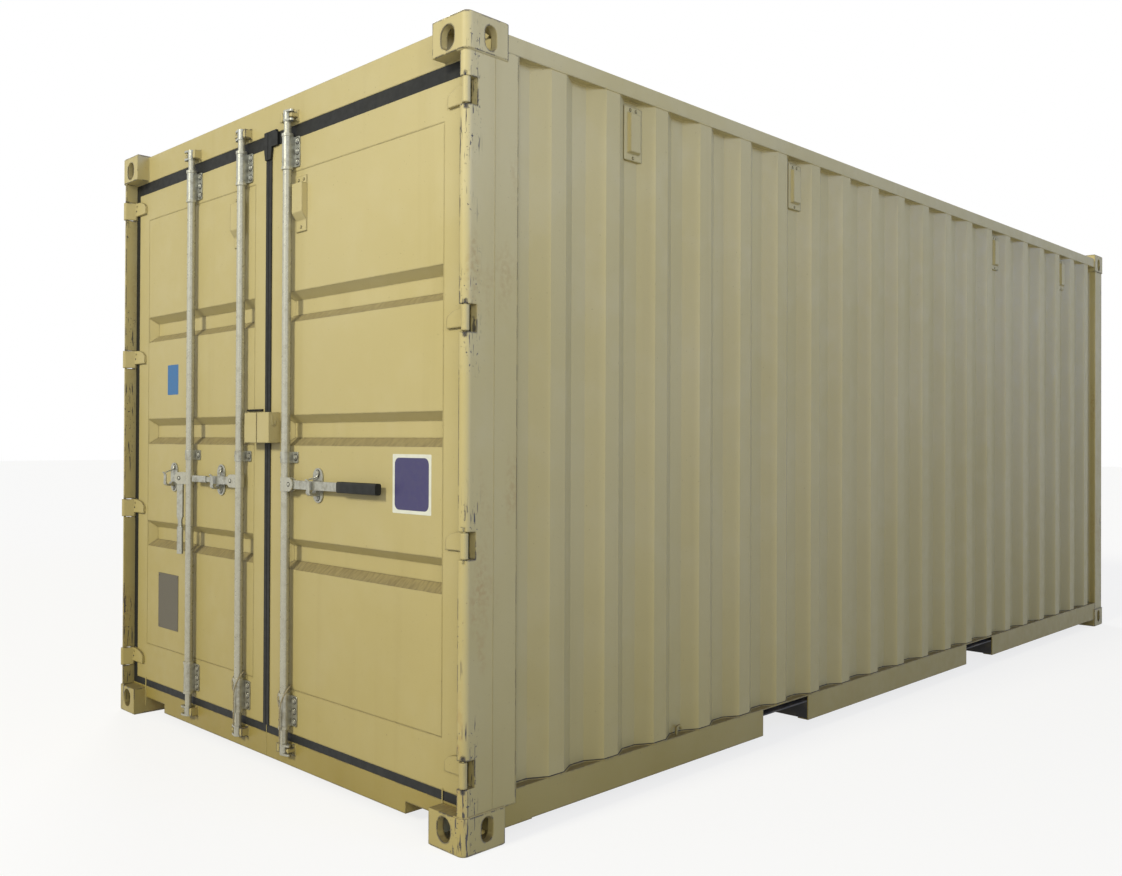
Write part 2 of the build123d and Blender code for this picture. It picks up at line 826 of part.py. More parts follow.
# Door gasket: the rubber seal round one leaf
with BuildPart() as door_gasket:
    with BuildSketch(end_plane(face_y)) as gasket_face:
        rectangle_between(
            (gasket_seam_half, post_inner_x - gasket_gap),
            (sill_top + gasket_gap, header_bottom - gasket_gap),
        )
        rectangle_between((seam_half, leaf_outer_x), (leaf_bottom, leaf_top), mode=Mode.SUBTRACT)
    extrude(amount=-gasket_depth)
    # A lip stands proud along the seam, except behind the lock box
    for lip_range in (
        (leaf_bottom, lock_box_bottom - gasket_gap),
        (lock_box_top + gasket_gap, gasket_pad_bottom),
    ):
        block((gasket_seam_half, seam_half), (face_y - gasket_lip, face_y), lip_range)
    # A tapered pad at the top of the seam laps over the header
    with BuildSketch(end_plane(face_y - header_clearance)) as pad_face:
        with BuildLine():
            Polyline(
                (gasket_seam_half, gasket_pad_bottom),
                (seam_half, gasket_pad_bottom),
                (gasket_pad_width, gasket_pad_bottom + gasket_pad_taper),
                (gasket_pad_width, gasket_pad_top),
                (gasket_seam_half, gasket_pad_top),
                close=True,
            )
        make_face()
    extrude(amount=gasket_pad_depth - header_clearance)
    block(
        (gasket_seam_half, seam_half),
        (face_y - header_clearance, face_y),
        (gasket_pad_bottom, header_bottom - gasket_gap),
    )

with BuildPart() as door_gasket_left:
    mirror(door_gasket.part, about=Plane.YZ)
finish(door_gasket_left, "door_gasket_left")

# On the right leaf the pad goes on sideways as a flap
with BuildPart() as door_gasket_right:
    add(door_gasket.part)
    block(
        (seam_half, gasket_flap_reach),
        (face_y - gasket_pad_depth, face_y),
        (leaf_top, header_bottom - gasket_gap),
    )
    block(
        (gasket_pad_width, gasket_flap_reach - gasket_flap_step),
        (face_y - gasket_pad_depth, face_y - header_clearance),
        (header_bottom - gasket_gap, gasket_pad_top),
    )
finish(door_gasket_right, "door_gasket_right")


# Door hinges: four forged blades, each with its barrel and pin
back_turn = radians(elbow_back_angle)
front_turn = radians(elbow_front_angle)
blade_end = pin_x - blade_reach
elbow_x = pin_x - elbow_start
with BuildPart() as door_hinges_right:
    for hinge_z in hinge_heights:
        hinge_bottom = hinge_z - hinge_height / 2
        hinge_top = hinge_z + hinge_height / 2
        with Locations((pin_x, pin_y, hinge_z)):
            Cylinder(pin_radius, hinge_height + 2 * (hinge_clearance + pin_seat))
            Cylinder(barrel_radius, hinge_height)
        with BuildSketch(Plane.XY.offset(hinge_bottom)) as blade_plan:
            with BuildLine():
                Polyline(
                    (blade_end, face_y),
                    (elbow_x, face_y),
                    (pin_x - barrel_radius * sin(back_turn), pin_y + barrel_radius * cos(back_turn)),
                    (pin_x - barrel_radius * cos(front_turn), pin_y - barrel_radius * sin(front_turn)),
                    (elbow_x, face_y - blade_thickness),
                    (blade_end, face_y - blade_thickness),
                    close=True,
                )
            make_face()
        extrude(amount=hinge_height)
        # The blade stops above the barrel's lower end, and its upper edge falls away in a curve
        with BuildSketch(end_plane(face_y)) as blade_cut:
            rectangle_between((blade_end, elbow_x), (hinge_top - blade_shoulder, hinge_top))
            with Locations((elbow_x, hinge_top - blade_shoulder)):
                Ellipse(elbow_x - blade_end, blade_shoulder, mode=Mode.SUBTRACT)
            rectangle_between((blade_end, elbow_x), (hinge_bottom, hinge_bottom + blade_rise))
            with Locations((elbow_x - 2 * blade_hole_radius, hinge_top - blade_shoulder / 2)):
                Circle(blade_hole_radius)
        extrude(amount=blade_thickness, mode=Mode.SUBTRACT)
finish(door_hinges_right, "door_hinges_right")

with BuildPart() as door_hinges_left:
    mirror(door_hinges_right.part, about=Plane.YZ)
finish(door_hinges_left, "door_hinges_left")


def bracket(rod_x, bottom, tall):
    """Add a sleeve round a rod, with its flange bolted to the leaf on the right."""
    sleeve_radius = rod_radius + rod_clearance + sleeve_wall
    with BuildSketch(Plane.XY.offset(bottom)) as bracket_plan:
        with Locations((rod_x, rod_y)):
            Circle(sleeve_radius)
        rectangle_between((rod_x, rod_x + sleeve_radius), (rod_y, face_y))
        with Locations((rod_x, rod_y)):
            Circle(rod_radius + rod_clearance, mode=Mode.SUBTRACT)
    extrude(bracket_plan.sketch, amount=tall)
    with BuildSketch(end_plane(face_y)) as flange_face:
        rectangle_between((rod_x, rod_x + bracket_reach), (bottom, bottom + tall))
        fillet(flange_face.vertices().group_by(Axis.X)[-1], bracket_corner_radius)
    extrude(flange_face.sketch, amount=bracket_plate)


def catch_x(rod_x):
    """The middle of the catch that holds the handle of a rod."""
    side = 1 if rod_x > 0 else -1
    return rod_x + side * (pivot_offset + catch_from_pivot)


def rod_gear(rods):
    """The brackets of the rods on one leaf, and the oval plates behind their handles."""
    with BuildPart() as gear:
        for rod_x in rods:
            bracket(rod_x, lower_sleeve_bottom, sleeve_length)
            bracket(rod_x, middle_bracket_bottom, middle_bracket_height)
            bracket(rod_x, upper_sleeve_top - sleeve_length, sleeve_length)
            with BuildSketch(end_plane(face_y)) as catch_face:
                with Locations((catch_x(rod_x), handle_height)):
                    SlotOverall(catch_height, catch_width, rotation=90)
            extrude(catch_face.sketch, amount=catch_plate)
    return gear


def handle_cradles(rods):
    """The curled hooks on the catch plates that the handles of one leaf lie in."""
    cradle_top = handle_height - handle_bar / 2 - cradle_clearance
    with BuildPart() as cradles:
        for rod_x in rods:
            with BuildSketch(side_plane(catch_x(rod_x) - cradle_width / 2)) as cradle_section:
                with Locations((handle_y, cradle_top)):
                    Circle(cradle_radius)
                rectangle_between(
                    (handle_y, face_y - catch_plate), (cradle_top - cradle_radius, cradle_top)
                )
                with Locations((handle_y, cradle_top)):
                    Circle(cradle_radius - cradle_wall, mode=Mode.SUBTRACT)
                rectangle_between(
                    (handle_y - cradle_radius, face_y - catch_plate),
                    (cradle_top, cradle_top + cradle_radius),
                    mode=Mode.SUBTRACT,
                )
            extrude(cradle_section.sketch, amount=cradle_width)
    return cradles


for leaf, rods in (("left", rod_positions[:2]), ("right", rod_positions[2:])):
    finish(rod_gear(rods), f"rod_gear_{leaf}")
    finish(handle_cradles(rods), f"handle_cradles_{leaf}")


def rest_turn(rod_x):
    """How far a rod is turned outward as it stands: the outer one is not quite closed."""
    return rod_1_rest_turn if rod_x == -outer_rod else 0


def at_rest(sub_part, rod_x):
    """Turn a piece of a rod about the rod's axis to where it stands."""
    with BuildPart() as placed_piece:
        add(sub_part.part.rotate(Axis((rod_x, rod_y, 0), (0, 0, 1)), rest_turn(rod_x)))
    return placed_piece


def rod_cams(rod_x):
    """The cams at both ends of a rod: a boss with a nose over and a nose under the keeper's lug."""
    side = 1 if rod_x > 0 else -1
    with BuildPart() as cams:
        for bottom in (lower_cam_bottom, upper_cam_bottom):
            with Locations((rod_x, rod_y, bottom + cam_height / 2)):
                Cylinder(cam_radius, cam_height)
            for plate_bottom in (bottom, bottom + cam_height - cam_plate):
                with BuildSketch(Plane.XY.offset(plate_bottom)) as cam_plan:
                    with Locations((rod_x, rod_y)):
                        Circle(cam_radius)
                    with Locations((rod_x + side * cam_nose_reach, rod_y)):
                        Circle(cam_nose_radius)
                    make_hull()
                extrude(cam_plan.sketch, amount=cam_plate)
    return cams


def lock_rod(rod_x):
    """One rod with its stems, its collars and the clevis that holds the handle."""
    side = 1 if rod_x > 0 else -1
    upper_sleeve_bottom = upper_sleeve_top - sleeve_length
    lower_sleeve_top = lower_sleeve_bottom + sleeve_length
    stages = (
        (stem_radius, lower_cam_bottom + cam_height, upper_cam_bottom),
        (rod_radius, lower_sleeve_bottom - collar_height, upper_sleeve_top + collar_height),
        (collar_radius, lower_sleeve_bottom - collar_height, lower_sleeve_bottom),
        (collar_radius, lower_sleeve_top, lower_sleeve_top + collar_height),
        (collar_radius, upper_sleeve_bottom - collar_height, upper_sleeve_bottom),
        (collar_radius, upper_sleeve_top, upper_sleeve_top + collar_height),
        (hub_radius, handle_height - hub_height / 2, handle_height + hub_height / 2),
    )
    with BuildPart() as rod:
        for radius, bottom, top in stages:
            with Locations((rod_x, rod_y, (bottom + top) / 2)):
                Cylinder(radius, top - bottom)
        pivot_x = rod_x + side * pivot_offset
        plate_middle = handle_thickness / 2 + hub_gap + hub_plate / 2
        for plate_y in (handle_y - plate_middle, handle_y + plate_middle):
            with BuildSketch(end_plane(plate_y + hub_plate / 2)) as clevis_plate:
                rectangle_between(
                    (min(rod_x, pivot_x), max(rod_x, pivot_x)),
                    (handle_height - hub_height / 2, handle_height + hub_height / 2),
                )
                with Locations((pivot_x, handle_height)):
                    Circle(hub_height / 2)
            extrude(amount=hub_plate)
        with BuildSketch(end_plane(handle_y + plate_middle)) as pivot_face:
            with Locations((pivot_x, handle_height)):
                Circle(pivot_radius)
        extrude(amount=2 * plate_middle)
    return rod


for index, rod_x in enumerate(rod_positions, start=1):
    finish(at_rest(lock_rod(rod_x), rod_x), f"lock_rod_{index}")
    finish(at_rest(rod_cams(rod_x), rod_x), f"rod_cams_{index}")


def keeper_stage(near, far, middle, stage_height, depth):
    """Add a block on the end frame beside a cam, pointed on the side of the rod."""
    shoulder = near + keeper_point * (1 if far > near else -1)
    half = stage_height / 2
    with BuildSketch(end_plane(face_y)) as stage_face:
        with BuildLine():
            Polyline(
                (near, middle - half + keeper_point),
                (shoulder, middle - half),
                (far, middle - half),
                (far, middle + half),
                (shoulder, middle + half),
                (near, middle + half - keeper_point),
                close=True,
            )
        make_face()
    extrude(stage_face.sketch, amount=depth)


# Cam keepers: a base each side of every cam, with a lug between its noses or a taller free lug
nose_lug_height = cam_height - 2 * cam_plate - 2 * cam_clearance
with BuildPart() as cam_keepers:
    for rod_x in rod_positions:
        nose_side = 1 if rod_x > 0 else -1
        for cam_bottom in (lower_cam_bottom, upper_cam_bottom):
            cam_middle = cam_bottom + cam_height / 2
            for side in (-1, 1):
                lug_near = rod_x + side * (cam_radius + cam_clearance)
                lug_far = lug_near + side * keeper_length
                lug_height = nose_lug_height if side == nose_side else free_lug_height
                keeper_stage(lug_near, lug_far, cam_middle, cam_height, keeper_base_depth)
                keeper_stage(lug_near, lug_far, cam_middle, lug_height, keeper_depth)
finish(cam_keepers, "cam_keepers")


def level_handle(rod_x, bar_length, flat_length):
    """A flat bar on its pivot, pointing away from the seam."""
    side = 1 if rod_x > 0 else -1
    pivot_x = rod_x + side * pivot_offset
    waist_x = pivot_x + side * flat_length
    end_x = pivot_x + side * bar_length
    half_bar = handle_bar / 2
    half_waist = handle_waist / 2
    with BuildPart() as bar:
        with BuildSketch(end_plane(handle_y + handle_thickness / 2)) as bar_face:
            with Locations((pivot_x, handle_height)):
                Circle(half_bar)
            rectangle_between(
                (min(pivot_x, waist_x), max(pivot_x, waist_x)),
                (handle_height - half_bar, handle_height + half_bar),
            )
            if flat_length < bar_length:
                with BuildLine():
                    Polyline(
                        (waist_x, handle_height - half_bar),
                        (waist_x + side * half_bar, handle_height - half_waist),
                        (end_x, handle_height - half_waist),
                        (end_x, handle_height + half_waist),
                        (waist_x + side * half_bar, handle_height + half_waist),
                        (waist_x, handle_height + half_bar),
                        close=True,
                    )
                make_face()
            with Locations((pivot_x, handle_height)):
                Circle(pivot_radius + pin_clearance, mode=Mode.SUBTRACT)
        extrude(amount=handle_thickness)
    return bar


def short_handle_bar(rod_x):
    """A level handle with a narrow waist and a rounded end to hold it by."""
    side = 1 if rod_x > 0 else -1
    end_x = rod_x + side * (pivot_offset + short_handle)
    with BuildPart() as bar:
        add(level_handle(rod_x, short_handle, waist_start).part)
        with BuildSketch(side_plane(end_x - side * end_grip_length)) as end_grip:
            with Locations((handle_y, handle_height)):
                RectangleRounded(end_grip_thickness, end_grip_height, end_grip_radius)
        extrude(amount=side * end_grip_length)
    return bar


# The first handle hangs from its pivot, the other two lie level
hanging_pivot = (rod_positions[0] - pivot_offset, handle_y, handle_height)
with BuildPart() as hanging_bar:
    add(short_handle_bar(rod_positions[0]).part.rotate(Axis(hanging_pivot, (0, 1, 0)), -90))
finish(at_rest(hanging_bar, rod_positions[0]), "handle_1")
finish(short_handle_bar(rod_positions[1]), "handle_2")
finish(level_handle(rod_positions[2], long_handle, long_handle), "handle_3")


# Rubber grip on the end of the long handle
grip_start = rod_positions[2] + pivot_offset + long_handle
with BuildPart() as handle_grip:
    with BuildSketch(side_plane(grip_start)) as grip_section:
        with Locations((handle_y, handle_height)):
            RectangleRounded(grip_thickness, grip_height, grip_corner_radius)
    extrude(amount=grip_length)
finish(handle_grip, "handle_grip")


def rope_route(rod_x):
    """A rope tied in front of the lower sleeve: up round the back of the rod, then hanging down."""
    ring_height = lower_sleeve_bottom + sleeve_length
    offsets = (
        (4, -26, -37),
        (-16, -23, -8),
        (-28, -3, 17),
        (-15, 20, 33),
        (15, 20, 37),
        (28, 0, 30),
        (24, -22, 1),
        (12, -27, -37),
        (10, -26, -80),
        (12, -27, -128),
        (9, -26, rope_tail_end - ring_height),
    )
    return [Vector(rod_x + x, rod_y + y, ring_height + z) for x, y, z in offsets]


def rope(rod_x):
    """A tube of straight runs joined by arcs as large as the runs allow."""
    points = rope_route(rod_x)
    runs = [end - start for start, end in zip(points, points[1:])]
    radii = []
    for before, after in zip(runs, runs[1:]):
        half_turn = radians(before.get_angle(after)) / 2
        radii.append(0.45 * min(before.length, after.length) / tan(half_turn))
    print("rope radii", [round(radius, 1) for radius in radii])
    with BuildPart() as cord:
        with BuildLine() as route:
            FilletPolyline(*points, radius=radii)
        with BuildSketch(Plane(points[0], z_dir=runs[0])) as section:
            Circle(rope_diameter / 2)
        sweep()
    rope_length = sum(edge.length for edge in route.edges())
    rope_volume = pi * (rope_diameter / 2) ** 2 * rope_length
    print("rope", round(rope_length, 1), "mm; volume", round(cord.part.volume), "of", round(rope_volume))
    return cord


finish(rope(rod_positions[1]), "rope_2")
finish(rope(rod_positions[2]), "rope_3")


# Lock box: a hood over the seam, in halves that part as the doors open
with BuildPart() as lock_box_right:
    block(
        (lock_box_seam_half, lock_box_reach),
        (face_y - lock_box_depth, face_y),
        (lock_box_bottom, lock_box_top),
    )
    block(
        (lock_box_seam_half, lock_box_reach - lock_box_wall),
        (face_y - lock_box_depth + lock_box_wall, face_y),
        (lock_box_bottom, lock_box_top - lock_box_wall),
        mode=Mode.SUBTRACT,
    )
    # A bent wire hook lies against the outer side
    wire_x = lock_box_reach + box_hook_wire / 2
    wire_y = face_y - box_hook_back
    wire_top = lock_box_top - lock_box_wall - box_hook_wire - box_hook_radius
    wire_low = wire_top - box_hook_drop + box_hook_radius
    wire_front = wire_y - box_hook_radius
    wire_back = wire_y + box_hook_radius
    with BuildLine() as box_hook_line:
        Line((wire_x, wire_front, wire_top), (wire_x, wire_front, wire_low))
        ThreePointArc(
            (wire_x, wire_front, wire_low),
            (wire_x, wire_y, wire_low - box_hook_radius),
            (wire_x, wire_back, wire_low),
        )
        Line((wire_x, wire_back, wire_low), (wire_x, wire_back, wire_low + box_hook_radius))
    with BuildSketch(Plane((wire_x, wire_front, wire_top), z_dir=(0, 0, -1))) as box_hook_section:
        Circle(box_hook_wire)
    sweep()
finish(lock_box_right, "lock_box_right")

with BuildPart() as lock_box_left:
    mirror(lock_box_right.part, about=Plane.YZ)
    block(
        (-half_width, -lock_box_reach),
        (face_y - lock_box_depth, face_y),
        (lock_box_bottom, lock_box_top),
        mode=Mode.SUBTRACT,
    )
finish(lock_box_left, "lock_box_left")
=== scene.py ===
"""Looks of a short freight container with two rear doors, built round its CAD frame."""

import json
import math

import bpy
from mathutils import Matrix, Vector


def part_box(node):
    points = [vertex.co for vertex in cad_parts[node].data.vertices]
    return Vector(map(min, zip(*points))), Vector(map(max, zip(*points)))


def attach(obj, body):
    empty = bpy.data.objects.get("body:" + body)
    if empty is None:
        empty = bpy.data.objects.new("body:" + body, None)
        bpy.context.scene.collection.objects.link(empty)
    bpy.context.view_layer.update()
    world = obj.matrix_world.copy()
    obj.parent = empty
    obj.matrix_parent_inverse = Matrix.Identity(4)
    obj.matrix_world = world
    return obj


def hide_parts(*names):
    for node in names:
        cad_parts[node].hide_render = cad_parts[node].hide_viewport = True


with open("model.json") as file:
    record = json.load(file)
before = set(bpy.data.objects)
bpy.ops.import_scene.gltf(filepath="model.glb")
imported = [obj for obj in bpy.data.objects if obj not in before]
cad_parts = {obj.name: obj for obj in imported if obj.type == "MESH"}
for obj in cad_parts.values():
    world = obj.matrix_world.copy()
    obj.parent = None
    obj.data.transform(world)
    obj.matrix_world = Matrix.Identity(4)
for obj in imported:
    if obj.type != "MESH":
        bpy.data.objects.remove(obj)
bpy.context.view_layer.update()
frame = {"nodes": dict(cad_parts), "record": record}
nodes = frame["nodes"]
scene = bpy.context.scene

# Camera, fitted to the corner castings in the photograph
PICTURE_WIDTH = 1122
PICTURE_HEIGHT = 876
FOCAL_PIXELS = 1039.15
CENTRE_PIXEL = (501.8, 434.6)
CAMERA_PLACE = (3.572, -5.134, 1.269)
CAMERA_YAW = math.radians(46.14)
CAMERA_PITCH = math.radians(0.372)
CAMERA_ROLL = math.radians(0.262)
SENSOR = 36.0

# Light
WORLD_LIGHT = 0.30
KEY_PLACE = (-0.02, -1.0, 0.55)
KEY_LIGHT = 2.16
KEY_COLOUR = (1.0, 0.95, 0.74)
KEY_SPREAD = 10
FILL_PLACE = (0.88, 0.30, 0.22)
FILL_LIGHT = 1.0
FILL_COLOUR = (0.14, 0.33, 1.0)
FILL_SPREAD = 25
BACK_PLACE = (-0.75, 0.45, 0.50)
BACK_LIGHT = 1.20
BACK_COLOUR = (1.0, 0.98, 0.92)
BACK_SPREAD = 20
SIDE_PLACE = (5.4, -6.0, 3.0)
SIDE_TARGET = (1.2, -2.4, 1.6)
SIDE_LIGHT = 140.0
SIDE_COLOUR = (1.0, 0.98, 0.90)
SIDE_SIZE = 3.0

# Paint tones, linear
PAINT_DEEP = (0.500, 0.430, 0.205)
PAINT_PALE = (0.535, 0.468, 0.250)
PAINT_FADED = (0.570, 0.515, 0.315)
# Painted shade that darkens the paint towards its foot
FOOT_SHADE_TONE = (0.235, 0.180, 0.038)
RUN_BROWN = (0.300, 0.230, 0.095)
DUST_BROWN = (0.125, 0.095, 0.048)
BARE_STEEL = (0.040, 0.040, 0.055)
RUST = (0.300, 0.160, 0.045)

# Zinc tones, linear
GEAR_PALE = (0.50, 0.51, 0.46)
GEAR_DULL = (0.38, 0.39, 0.36)
ROD_PALE = (0.51, 0.51, 0.44)
ROD_DULL = (0.46, 0.46, 0.40)
ZINC_DIRT = (0.17, 0.15, 0.09)
# Painted shade that darkens the zinc towards its foot
ZINC_FOOT_SHADE_TONE = (0.24, 0.20, 0.11)

# Where wear lies, and the height where the painted shade towards the foot begins
FOOT_SHADE_TOP = 2.15
CORNER_REACH = 0.075
CHIP_BEVEL = 0.008

# Floor under the object
GROUND_REACH = 60
GROUND_GLOW = 0.78
GROUND_SEEN = (0.9, 0.9, 0.9)
GROUND_LIT = (0.42, 0.41, 0.38)

# Places read from the frame
casting_low, casting_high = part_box("casting_rear_bottom_right")
top_casting_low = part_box("casting_rear_top_right")[0]
front_casting_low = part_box("casting_front_bottom_right")[0]
panel_low, panel_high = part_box("door_panel_right")
post_low, post_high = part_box("rear_post_right")
front_post_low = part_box("front_post_right")[0]
wall_low, wall_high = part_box("side_wall_right")
vent_low, vent_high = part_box("side_vents")
header_low, header_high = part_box("door_header")
sill_low, sill_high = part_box("door_sill")
floor_low, floor_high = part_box("floor")
FACE_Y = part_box("door_frame_right")[0].y
WALL_X = wall_high.x

# Rods and what they carry, as in the CAD source
ROD_Y = FACE_Y - 0.0255
RODS = {1: -0.594, 2: -0.174, 3: 0.167}
REST_TURN = {1: math.radians(20), 2: 0.0, 3: 0.0}
PIVOT_OFFSET = 0.046
CATCH_OFFSET = PIVOT_OFFSET + 0.140
HANDLE_Y = FACE_Y - 0.033
HANDLE_Z = 1.104
HUB_FRONT_Y = HANDLE_Y - 0.010
FLANGE_Y = FACE_Y - 0.005
SLEEVE_RADIUS = 0.020
SLEEVE_LENGTH = 0.115
SLEEVE_BOTTOMS = (0.190, 2.305)
MIDDLE_BRACKET_Z = 1.205
CATCH_Y = FACE_Y - 0.006

# Bolts, pins and holes on the rods' fittings
BOLT_RADIUS = 0.0085
FLANGE_BOLT_X = 0.037
FLANGE_BOLT_INSET = 0.018
CATCH_BOLT_RISE = 0.045
# The sleeve holes are dark domes of painted shade
SLEEVE_HOLE_INSET = 0.022
SLEEVE_HOLE_TURN = math.radians(214)
SLEEVE_HOLE_RADIUS = 0.005
HUB_PIN_RADIUS = 0.0065
# Radius of the ring of painted shade round a hub pin
HUB_SHADE_RADIUS = 0.0092

# Strap in front of a handle: steps inward and up from its foot, half width
STRAP_FOOT_Y = HANDLE_Y - 0.0145
STRAP_FOOT_Z = HANDLE_Z - 0.024
STRAP_THICKNESS = 0.005
STRAP_POINTS = (
    (0.0, 0.0, 0.011),
    (0.0, 0.018, 0.011),
    (0.0005, 0.034, 0.010),
    (-0.004, 0.042, 0.009),
    (-0.010, 0.046, 0.006),
)

# Arm above the strap: step along the door, stand off the plate, reach outward, rise, half width
ARM_POINTS = (
    (0.000, 0.003, 0.000, 0.006, 0.009),
    (0.000, 0.004, 0.000, -0.006, 0.009),
    (-0.002, 0.004, 0.008, -0.014, 0.008),
    (-0.008, 0.004, 0.026, -0.018, 0.008),
    (-0.018, 0.004, 0.042, -0.021, 0.007),
    (-0.030, 0.004, 0.048, -0.024, 0.004),
)
ARM_BEHIND_HANDLE = 0.30

# Walls and posts, as in the CAD source
FOLD_DEPTH = 0.036
POST_FOLD_Y = -2.902
POST_ROUND_START = 0.024
POST_ROUND_MIDDLE = 0.007

# Reading the folds of the wall, and the dark line just above its foot
LEVEL_TOLERANCE = 0.0001
FOLD_TOLERANCE = 0.0005
FOOT_LINE_RISE = 0.0045

# Cam keepers, hinges and vents, as in the CAD source
KEEPER_MIDDLES = (0.103, 2.498)
KEEPER_HALF = 0.021
KEEPER_NEAR = 0.021
KEEPER_LENGTH = 0.020
KEEPER_POINT = 0.007
HINGE_LOW = 0.249
HINGE_HIGH = 2.3465
HINGE_PLACES = [HINGE_LOW + index * (HINGE_HIGH - HINGE_LOW) / 3 for index in range(4)]
HINGE_ELBOW = 0.098
HINGE_HALF = 0.040
BLADE_FRONT = 0.010
BLADE_SHOULDER = 0.006
BLADE_FOOT = 0.022
DOOR_VENT_X = 0.230
DOOR_VENT_FACE_Y = FACE_Y - 0.004
VENT_PITCH = 0.2783
VENT_STEPS = (4, 8)
VENT_PLATE = 0.012
VENT_FACE_X = WALL_X - FOLD_DEPTH + VENT_PLATE
WALL_MIDDLE_Y = 0.0345

# Screws and holes on hinges and vents, across and up
DOOR_VENT_SCREWS = ((-0.017, 2.250), (0.017, 2.250), (0.0, 2.072))
VENT_TOP_ROW = vent_high.z - 0.012
VENT_SCREWS = ((-0.016, VENT_TOP_ROW), (0.016, VENT_TOP_ROW), (0.0, vent_low.z + 0.010))
SCREW_RADIUS = 0.005
# Screws sit in rings of painted shade, and grease holes are dark discs of painted shade
SCREW_SHADE_RADIUS = 0.0062
GREASE_HOLE_RADIUS = 0.0042
GREASE_HOLE_THICKNESS = 0.0008
GREASE_HOLE_INSET = 0.006
GREASE_HOLE_RISE = 0.002

# Joints and screws of the floor boards
BOARD_ROWS = 5
BOARD_SCREWS = 9
BOARD_MARGIN = 0.02
BOARD_SIDE_MARGIN = 0.12
SCREW_SIDE_MARGIN = 0.2
SCREW_FROM_SEAM = 0.02
SEAM_HALF = 0.0015
SEAM_THICKNESS = 0.0004

# Tie ropes, as in the CAD source. Their route is in millimetres from the rod and the sleeve's top
SLEEVE_TOP = SLEEVE_BOTTOMS[0] + SLEEVE_LENGTH
ROPE_DIAMETER = 0.005
ROPE_OFFSETS = (
    (4, -26, -37),
    (-16, -23, -8),
    (-28, -3, 17),
    (-15, 20, 33),
    (15, 20, 37),
    (28, 0, 30),
    (24, -22, 1),
    (12, -27, -37),
    (10, -26, -80),
    (12, -27, -128),
    (9, -26, -175),
)

# Bare panels on the doors: width range, height range, lift off the door, thickness, corner radius
NOTICE_RIM = ((0.792, 0.994), (1.027, 1.225), 0.0, 0.0008, 0.004)
NOTICE_FIELD = ((0.804, 0.982), (1.039, 1.213), 0.0008, 0.0005, 0.022)
STICKER = ((-0.857, -0.756), (1.471, 1.605), 0.0, 0.0006, 0.004)
BLANK_PLATE = ((-0.933, -0.743), (0.418, 0.666), 0.0, 0.002, 0.004)
# A dark strip of painted shadow
SHADOW_STRIP = ((-0.150, -0.036), (1.384, 1.392), 0.0, 0.010, 0.002)
PLATE_RIVETS = [(x, z) for x in (-0.923, -0.753) for z in (0.428, 0.656)]
PLATE_RIVET_RADIUS = 0.004

# Weld beads: radius by the joint that each runs along, and distance from ripple to ripple
PANEL_BEAD = 0.0018
BLADE_BEAD = 0.0026
BLADE_BEAD_END = 0.02
LOCK_BOX_BEAD = 0.003
LOCK_BOX_BEAD_INSET = 0.004
HEADER_BEAD = 0.004
CASTING_BEAD = 0.0045
POST_FOLD_BEAD = 0.0016
WALL_EDGE_BEAD = 0.003
SILL_SEAM_BEAD = 0.002
KEEPER_BEAD = 0.003
RAIL_BEAD = 0.0020
RAIL_PITCH = 0.014
FOLD_BEAD = 0.004
FOLD_PITCH = 0.012
# The dark line just above the wall's foot
FOOT_LINE_BEAD = 0.0016
FOOT_LINE_PITCH = 0.05
WELD_PITCH = 0.007
WELD_RIPPLE = 0.80
WELD_ARC = [math.radians(angle) for angle in (-95, -50, 0, 50, 95)]

# Edges of small pieces that bend more than this stay sharp
SMOOTH_ANGLE = math.radians(40)


def make_camera():
    """The photograph's camera, its principal point held by a small shift."""
    forward = Vector(
        (
            -math.sin(CAMERA_YAW) * math.cos(CAMERA_PITCH),
            math.cos(CAMERA_YAW) * math.cos(CAMERA_PITCH),
            math.sin(CAMERA_PITCH),
        )
    )
    level_right = forward.cross(Vector((0, 0, 1))).normalized()
    level_up = level_right.cross(forward)
    right = math.cos(CAMERA_ROLL) * level_right + math.sin(CAMERA_ROLL) * level_up
    up = right.cross(forward)
    data = bpy.data.cameras.new("camera")
    data.sensor_width = SENSOR
    data.lens = FOCAL_PIXELS / PICTURE_WIDTH * SENSOR
    data.shift_x = (PICTURE_WIDTH / 2 - CENTRE_PIXEL[0]) / PICTURE_WIDTH
    data.shift_y = (CENTRE_PIXEL[1] - PICTURE_HEIGHT / 2) / PICTURE_WIDTH
    data.clip_start = 0.05
    data.clip_end = 200
    camera = bpy.data.objects.new("camera", data)
    turn = Matrix((right, up, -forward)).transposed().to_4x4()
    camera.matrix_world = Matrix.Translation(CAMERA_PLACE) @ turn
    scene.collection.objects.link(camera)
    scene.camera = camera


# Shader helpers
def put(tree, kind, inputs=None, **settings):
    """Add one shader node. An input is a value, or the output socket that feeds it."""
    made = tree.nodes.new(kind)
    for key, value in settings.items():
        setattr(made, key, value)
    for key, value in (inputs or {}).items():
        if isinstance(value, bpy.types.NodeSocket):
            tree.links.new(value, made.inputs[key])
        else:
            made.inputs[key].default_value = value
    return made


def new_material(name):
    """An empty node material, its tree and the object's own coordinates."""
    material = bpy.data.materials.new(name)
    material.use_nodes = True
    tree = material.node_tree
    tree.nodes.clear()
    return material, tree, put(tree, "ShaderNodeTexCoord").outputs["Object"]


def close_material(tree, **inputs):
    """The main shader with these inputs, wired to the output."""
    inputs = {name.replace("_", " "): value for name, value in inputs.items()}
    shader = put(tree, "ShaderNodeBsdfPrincipled", inputs)
    output = put(tree, "ShaderNodeOutputMaterial")
    tree.links.new(shader.outputs[0], output.inputs[0])


